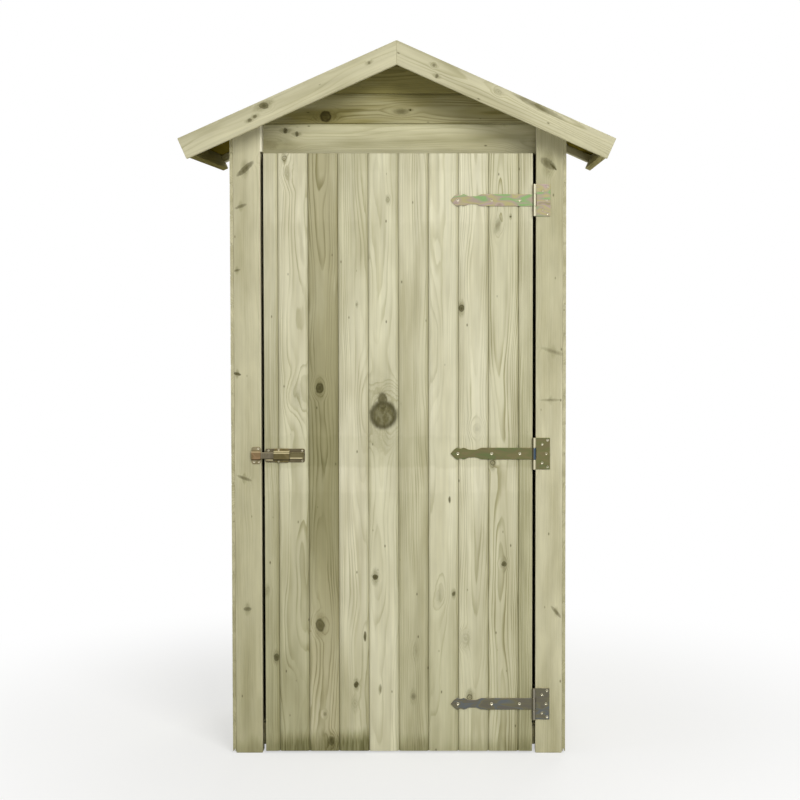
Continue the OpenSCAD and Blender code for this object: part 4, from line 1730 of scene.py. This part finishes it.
@dataclass
class PressedSheet:
    """A small fitting pressed from 1.5 mm sheet, lying on a face that looks forwards.

    Attributes:
        name: the piece's name.
        face: where the face lies along Y, in metres.
        middle: the height of the fitting's middle line, in metres.
        sheet: how thick it is, in millimetres.
        bm: its shape so far.
    """

    name: str
    face: float
    middle: float
    sheet: float = 1.5
    bm: BMesh = field(default_factory=bmesh.new)

    def _close(self, near: list[Vector], way: Vector) -> None:
        """Adds the closed body that one outline sweeps along a way."""
        start = [self.bm.verts.new(place) for place in near]
        end = [self.bm.verts.new(place + way) for place in near]
        self.bm.faces.new(start)
        self.bm.faces.new(list(reversed(end)))
        for i in range(len(near)):
            j = (i + 1) % len(near)
            self.bm.faces.new((start[i], end[i], end[j], start[j]))

    def slab(self, left: float, right: float, height: float, corner: float, gap: float = 0) -> None:
        """Adds the flat sheet with rounded corners, in one piece or as two ears.

        Args:
            left: its left end along X, in metres.
            right: its right end.
            height: how high it is, in metres.
            corner: the rounding of its corners, in millimetres.
            gap: half the height of the gap between two ears, in millimetres; 0 for one piece.
        """
        round_off = corner * MM
        inner = gap * MM if gap else -height / 2 + round_off
        top = []
        for centre, start in ((right - round_off, 0), (left + round_off, 90)):
            for step in range(5):
                turn = math.radians(start + step * 22.5)
                top.append((centre + round_off * math.cos(turn),
                            height / 2 - round_off + round_off * math.sin(turn)))
        if gap:
            outlines = [[(right, inner), *top, (left, inner)]]
            outlines.append([(x, -z) for x, z in reversed(outlines[0])])
        else:
            outlines = [[*top, *((x, -z) for x, z in reversed(top))]]
        for outline in outlines:
            near = [Vector((x, self.face, self.middle + z)) for x, z in outline]
            self._close(near, Vector((0, -self.sheet * MM, 0)))

    def rod(self, left: float, right: float, section: Sequence[tuple[float, float]]) -> None:
        """Adds a solid of one section.

        Args:
            left: its left end along X, in metres.
            right: its right end.
            section: its outline, as heights from the middle line and distances out, in
                millimetres.
        """
        near = [Vector((left, self.face - o * MM, self.middle + z * MM)) for z, o in section]
        self._close(near, Vector((right - left, 0, 0)))

    def arch(self, left: float, right: float, section: Sequence[tuple[float, float]]) -> None:
        """Adds a raised loop that the bolt passes through.

        Args:
            left: its left end along X, in metres.
            right: its right end.
            section: the loop's outside from its lower foot to its upper foot, as heights from
                the middle line and distances out, in millimetres.
        """
        wall = 0.9 * self.sheet
        feet = (section[0], section[-1])
        inner = [
            (z - math.copysign(wall, z), o if (z, o) in feet else o - wall) for z, o in section
        ]
        self.rod(left, right, [*section, *reversed(inner)])

    def build(self, body: str, finish: Material, *nodes: str, slot: str = "yellow_zinc") -> None:
        """Finishes the fitting.

        Args:
            body: the body that it is screwed to.
            finish: its material.
            nodes: the CAD nodes that it stands for.
            slot: the record's material slot.
        """
        mesh = to_mesh(self.bm, self.name)
        mesh.materials.append(finish)
        piece = new_object(self.name, mesh)
        soften(piece, 0.45)
        settle(piece, body, slot, *nodes)


def frame_face() -> float:
    """Returns how far forward the posts' faces stand."""
    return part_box("left_front_post")[0].y


@dataclass
class Ironmongery:
    """The three strap hinges and the slide bolt, with their screws. Lengths in millimetres.

    Attributes:
        finishes: the cabinet's finishes.
        strap_holes: a strap's screws, from its tip.
        plate_holes: a plate's screws, in from its outer edge and up from its middle.
        base_holes: the bolt's, from its base's left end, up from its middle, and further out.
        keep_holes: the keep's, from its left end and up from its middle.
        base_depth: how far the bolt's plate lies behind its front.
        stand: how far its screws' rims stand out from the face behind the sheet.
        loop, ears, lip: where the guide's raised loop, the sheet that carries it, and the lip
            left of it start and end along X.
    """

    finishes: Finishes
    strap_holes: tuple[float, ...] = (18, 101, 170)
    plate_holes: tuple[tuple[float, float], ...] = ((19, 23), (9, 0), (19, -23), (6, 33), (6, -33))
    base_holes: tuple[tuple[float, float, float], ...] = (
        (8, 12.5, 0), (8, -12.5, 0), (33, 14.6, 1.3), (33, -14.6, 1.3), (91, 12.5, 0),
        (91, -12.5, 0),
    )
    keep_holes: tuple[tuple[float, float], ...] = ((17, 16.8), (7, -16.2), (18, -16.2))
    base_depth: float = 9.6
    stand: float = 1.4
    loop: tuple[float, float] = (-306, -267)
    ears: tuple[float, float] = (-303, -270)
    lip: tuple[float, float] = (-325, -308)

    def build(self) -> None:
        """Dresses the hinges and the bolt."""
        self.on_door = Fasteners("door_screws", Screw(), "door", "yellow_zinc")
        self.on_post = Fasteners("post_screws", Screw(3.2), "cabinet", "yellow_zinc", 5)
        small = Screw(2.5, 0.8, 0.6, 1.2, 0.35, 0.4)
        self.on_bolt = Fasteners("bolt_screws", small, "door", "yellow_zinc", 7)
        self.on_keep = Fasteners("keep_screws", small, "cabinet", "yellow_zinc", 9)
        for place, (strap, plate) in self.finishes.hinges.items():
            self._hinge(place, strap, plate)
        low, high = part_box("bolt_base")
        middle, seat = (low.z + high.z) / 2, low.y + self.base_depth * MM
        self._base(seat, middle)
        self._keep(middle)
        self._bar(seat, middle)
        for screws in (self.on_door, self.on_post, self.on_bolt, self.on_keep):
            screws.build(self.finishes.screw)

    def _fitting(self, node: str, finish: Material) -> None:
        """Dresses one pressed part of a hinge: the CAD node with softened edges."""
        mesh = to_mesh(cad_copy(node), f"{node}_steel")
        mesh.materials.append(finish)
        piece = new_object(mesh.name, mesh)
        soften(piece, 0.5)
        piece.modifiers.new("flat_sheet", "WEIGHTED_NORMAL").keep_sharp = True
        settle(piece, BODY_OF[node], "yellow_zinc", node)

    def _hinge(self, place: str, strap: Material, plate: Material) -> None:
        """Dresses one hinge and drives its screws.

        Args:
            place: top, middle or bottom.
            strap: the material of the strap on the door.
            plate: the material of the plate on the post.
        """
        self._fitting(f"{place}_hinge_strap", strap)
        self._fitting(f"{place}_hinge_plate", plate)
        low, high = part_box(f"{place}_hinge_strap")
        face = frame_face() - 2 * MM
        middle = (low.z + high.z) / 2
        for along in self.strap_holes:
            self.on_door.drive((low.x + along * MM, face, middle), -BACK)
        low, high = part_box(f"{place}_hinge_plate")
        for in_from_edge, up in self.plate_holes:
            self.on_post.drive((high.x - in_from_edge * MM, face, middle + up * MM), -BACK)

    def _base(self, seat: float, middle: float) -> None:
        """Makes the slide bolt's base and guide, and drives their screws.

        Args:
            seat: where the base's plate lies along Y, in metres.
            middle: the height of the bolt's middle line, in metres.
        """
        zinc = self.finishes.zinc
        low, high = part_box("bolt_base")
        plate = PressedSheet("bolt_base_plate", seat, middle)
        plate.slab(low.x, high.x, high.z - low.z, 4.0)
        left, right = self.lip
        plate.rod(left * MM, right * MM, ((-12.8, 1), (-12.4, 6.8), (-9.4, 5.6), (-9.4, 1)))
        plate.build("door", zinc[Passivation.BRASSY], "bolt_base")
        guide = PressedSheet("bolt_guide", seat - plate.sheet * MM, middle)
        left, right = self.ears
        guide.slab(left * MM, right * MM, 35 * MM, 2.0, 9.2)
        left, right = self.loop
        guide.arch(left * MM, right * MM, (
            (-12.5, 0), (-10.8, 6.0), (-8.6, 9.3), (5.2, 9.3), (7.4, 7.9), (8.9, 7.7), (11.4, 5.6),
            (13.6, 0),
        ))
        guide.build("door", zinc[Passivation.GOLD])
        for along, up, out in self.base_holes:
            place = (low.x + along * MM, seat - (self.stand + out) * MM, middle + up * MM)
            self.on_bolt.drive(place, -BACK)

    def _keep(self, middle: float) -> None:
        """Makes the keep on the post, whose bridge stays clear of the bar, and its screws.

        Args:
            middle: the height of the bolt's middle line, in metres.
        """
        low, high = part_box("bolt_keep")
        keep = PressedSheet("bolt_keep_plate", high.y, middle)
        keep.slab(low.x, high.x, 43 * MM, 6.0, 9.0)
        keep.build("cabinet", self.finishes.zinc[Passivation.EAR], "bolt_keep")
        bridge = PressedSheet("bolt_keep_bridge", high.y, middle)
        bridge.arch(low.x, high.x, (
            (-12.2, 1.5), (-10.4, 6.0), (-8.8, 8.0), (7.4, 8.0), (10.8, 5.8), (12.2, 1.5),
        ))
        bridge.build("cabinet", self.finishes.bridge)
        for along, up in self.keep_holes:
            place = (low.x + along * MM, high.y - self.stand * MM, middle + up * MM)
            self.on_keep.drive(place, -BACK)

    def _bar(self, seat: float, middle: float) -> None:
        """Makes the bar: a shank through guide and keep, and a grip with a sunk middle.

        Args:
            seat: where the base's plate lies along Y, in metres.
            middle: the height of the bolt's middle line, in metres.
        """
        low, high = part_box("bolt_bar")
        joint, end = self.loop[1] * MM, high.x - 3 * MM
        bar = PressedSheet("bolt_shank", seat, middle)
        bar.rod(low.x, joint, ((-8, 2), (-8, 5.2), (-7.2, 6), (6.2, 6), (8, 4.8), (8, 2)))
        bar.build("bolt", self.finishes.bar, "bolt_bar", slot="bolt_steel")
        grip = PressedSheet("bolt_grip", seat, middle)
        grip.rod(joint, end, (
            (-8, 2), (-8, 7.6), (-7.2, 7.6), (-4.8, 6.0), (6.6, 6.0), (7.2, 7.2), (8, 7.2), (8, 2),
        ))
        grip.rod(end, high.x, ((-8, 2), (-8, 7.4), (8, 7.4), (8, 2)))
        grip.build("bolt", self.finishes.zinc[Passivation.GRIP], slot="bolt_steel")


@dataclass
class Nailing:
    """The nails that hold the boards, a small flat head each."""

    finishes: Finishes

    def build(self) -> None:
        """Drives the nails into the walls, the roof and the door's ledges."""
        self.walls = Fasteners("wall_nails", Nail(), "cabinet", "bolt_steel", 11)
        self.roof = Fasteners("roof_nails", Nail(2.2), "cabinet", "bolt_steel", 13)
        self.door = Fasteners("door_nails", Nail(), "door", "bolt_steel", 15)
        self._walls()
        self._roof()
        self._door()
        for nails in (self.walls, self.roof, self.door):
            nails.build(self.finishes.zinc[Passivation.DULL])

    def _walls(self) -> None:
        """Nails each wall board to the posts."""
        posts = [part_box(f"left_{place}_post") for place in ("front", "rear")]
        low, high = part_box("right_side_wall")
        cover = Walls.side.cover * MM
        for number in range(int((high.z - low.z) / cover)):
            level = low.z + (number + 0.5) * cover
            for sign in (-1, 1):
                for post in posts:
                    middle = (post[0].y + post[1].y) / 2
                    self.walls.drive((sign * high.x, middle, level), sign * EAST)
        low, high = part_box("rear_wall")
        for number in range(int((high.z - low.z) / cover)):
            level = low.z + (number + 0.5) * cover
            for post in (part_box("left_rear_post"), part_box("right_rear_post")):
                self.walls.drive(((post[0].x + post[1].x) / 2, high.y, level), BACK)

    def _roof(self) -> None:
        """Nails each roof board to the battens at the front and the rear."""
        for sign, side in ((-1, "left"), (1, "right")):
            down, out = roof_slope(sign), roof_normal(sign)
            low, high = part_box(f"{side}_roof_panel")
            length = max(abs(low.x), high.x) / abs(down.x)
            cover = Roof.boarding.cover
            for place in ("front", "rear"):
                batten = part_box(f"{side}_{place}_batten")
                for number in range(int(length / (cover * MM))):
                    spot = Vector((0, (batten[0].y + batten[1].y) / 2, high.z))
                    spot += down * (length - (number + 0.5) * cover * MM)
                    self.roof.drive(spot, out)

    def _door(self) -> None:
        """Nails the door's ledges to its boards, by turns above and below the ledge's middle."""
        count, stagger = 8, 18
        for place in ("top", "middle", "bottom"):
            low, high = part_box(f"{place}_ledge")
            for number in range(count):
                across = (number - (count - 1) / 2) * Door.boarding.cover * MM
                level = (low.z + high.z) / 2 + (-1) ** number * stagger * MM
                self.door.drive((across, high.y, level), BACK)


# ---- studio

@dataclass
class Studio:
    """The floor, the light and the camera.

    Attributes:
        lens: the focal length, in millimetres.
        eye: where the camera stands, in metres.
        down: how far it looks down, in degrees.
        shift: how far the picture is shifted, as parts of its width.
        sky: the strength of the light from all round.
        aim: what the lamps look at: the cabinet's middle.
    """

    lens: float = 76.4
    eye: tuple[float, float, float] = (0.18, -4.4, 1.21)
    down: float = 2.47
    shift: tuple[float, float] = (-0.0897, -0.0788)
    sky: float = 0.355
    aim: tuple[float, float, float] = (0.0, 0.0, 0.85)

    def build(self) -> None:
        """Sets up the studio."""
        bpy.context.scene.view_settings.view_transform = "Standard"
        self._floor()
        self._lamp("key", (2.0, -5.0, 4.2), 2.4, 224.0)
        self._lamp("fill", (-4.4, -0.6, 2.6), 3.4, 34.0)
        self._lamp("rear", (0.8, 4.2, 3.4), 3.0, 90.0)
        self._world()
        self._camera()

    def _camera(self) -> None:
        """Places the camera, slightly tilted down, with the rest of the framing as shift."""
        data = bpy.data.cameras.new("camera")
        data.lens, data.sensor_width = self.lens, 36.0
        data.shift_x, data.shift_y = self.shift
        camera = new_object("camera", data)
        camera.location = self.eye
        camera.rotation_euler = (math.radians(90 - self.down), 0, 0)
        bpy.context.scene.camera = camera

    def _lamp(self, name: str, place: Sequence[float], size: float, power: float) -> None:
        """Hangs one soft square lamp that looks at the cabinet's middle.

        Args:
            name: the lamp's name.
            place: where it hangs, in metres.
            size: its side, in metres.
            power: its power, in watts.
        """
        data = bpy.data.lights.new(name, "AREA")
        data.shape, data.size, data.energy = "SQUARE", size, power
        lamp = new_object(name, data)
        lamp.location = place
        view = Vector(self.aim) - Vector(place)
        lamp.rotation_euler = view.to_track_quat("-Z", "Y").to_euler()

    def _seen(self, tree: Tree) -> Socket:
        """Returns 1 for rays that show the surroundings: the camera's, mirrored and refracted."""
        path = tree.nodes.new("ShaderNodeLightPath").outputs
        either = add(tree, MATH, path["Is Camera Ray"], path["Is Glossy Ray"], op="MAXIMUM")
        return add(tree, MATH, either, path["Is Transmission Ray"], op="MAXIMUM")

    def _world(self) -> None:
        """Makes the surroundings: white to look at, softer as light."""
        world = bpy.data.worlds.new("studio")
        bpy.context.scene.world = world
        world.use_nodes = True
        tree = world.node_tree
        tree.nodes.clear()
        light = add(tree, "ShaderNodeBackground", {"Color": (1, 1, 1, 1), "Strength": self.sky})
        white = add(tree, "ShaderNodeBackground", {"Color": (1, 1, 1, 1), "Strength": 1.0})
        mixed = add(tree, "ShaderNodeMixShader", self._seen(tree), light, white)
        add(tree, "ShaderNodeOutputWorld", mixed)

    def _floor(self) -> None:
        """Lays a pale floor that fades to white away from the cabinet and keeps its shadow."""
        bm = bmesh.new()
        bmesh.ops.create_grid(bm, x_segments=1, y_segments=1, size=9.0)
        mesh = bpy.data.meshes.new("floor")
        bm.to_mesh(mesh)
        bm.free()
        floor = new_object("studio_floor", mesh)
        material, tree = blank("pale_studio_floor")
        place = add(tree, "ShaderNodeTexCoord", out=3)
        away = add(tree, VECTOR, place, out=1, op="LENGTH")
        blank_out = add(tree, RANGE, away, 0.6, 1.7, 0.55, 1.0, **SMOOTH)
        blank_out = add(tree, MATH, blank_out, self._seen(tree), op="MULTIPLY")
        matt = add(tree, "ShaderNodeBsdfDiffuse", {"Color": linear("#f4f4f1")})
        white = add(tree, "ShaderNodeEmission", {"Color": (1, 1, 1, 1), "Strength": 1.0})
        mixed = add(tree, "ShaderNodeMixShader", blank_out, matt, white)
        add(tree, "ShaderNodeOutputMaterial", mixed)
        mesh.materials.append(material)


def main() -> None:
    """Builds the studio and every part of the cabinet."""
    logging.basicConfig(level=logging.INFO, format="%(message)s")
    Studio().build()
    finishes = Finishes()
    parts: list[Posts | Walls | Roof | Base | Door | Ironmongery | Nailing] = [
        Posts(finishes), Walls(finishes), Roof(finishes), Base(finishes), Door(finishes),
        Ironmongery(finishes), Nailing(finishes),
    ]
    for part in parts:
        log.info("building %s", type(part).__name__)
        part.build()


if __name__ == "__main__":
    main()
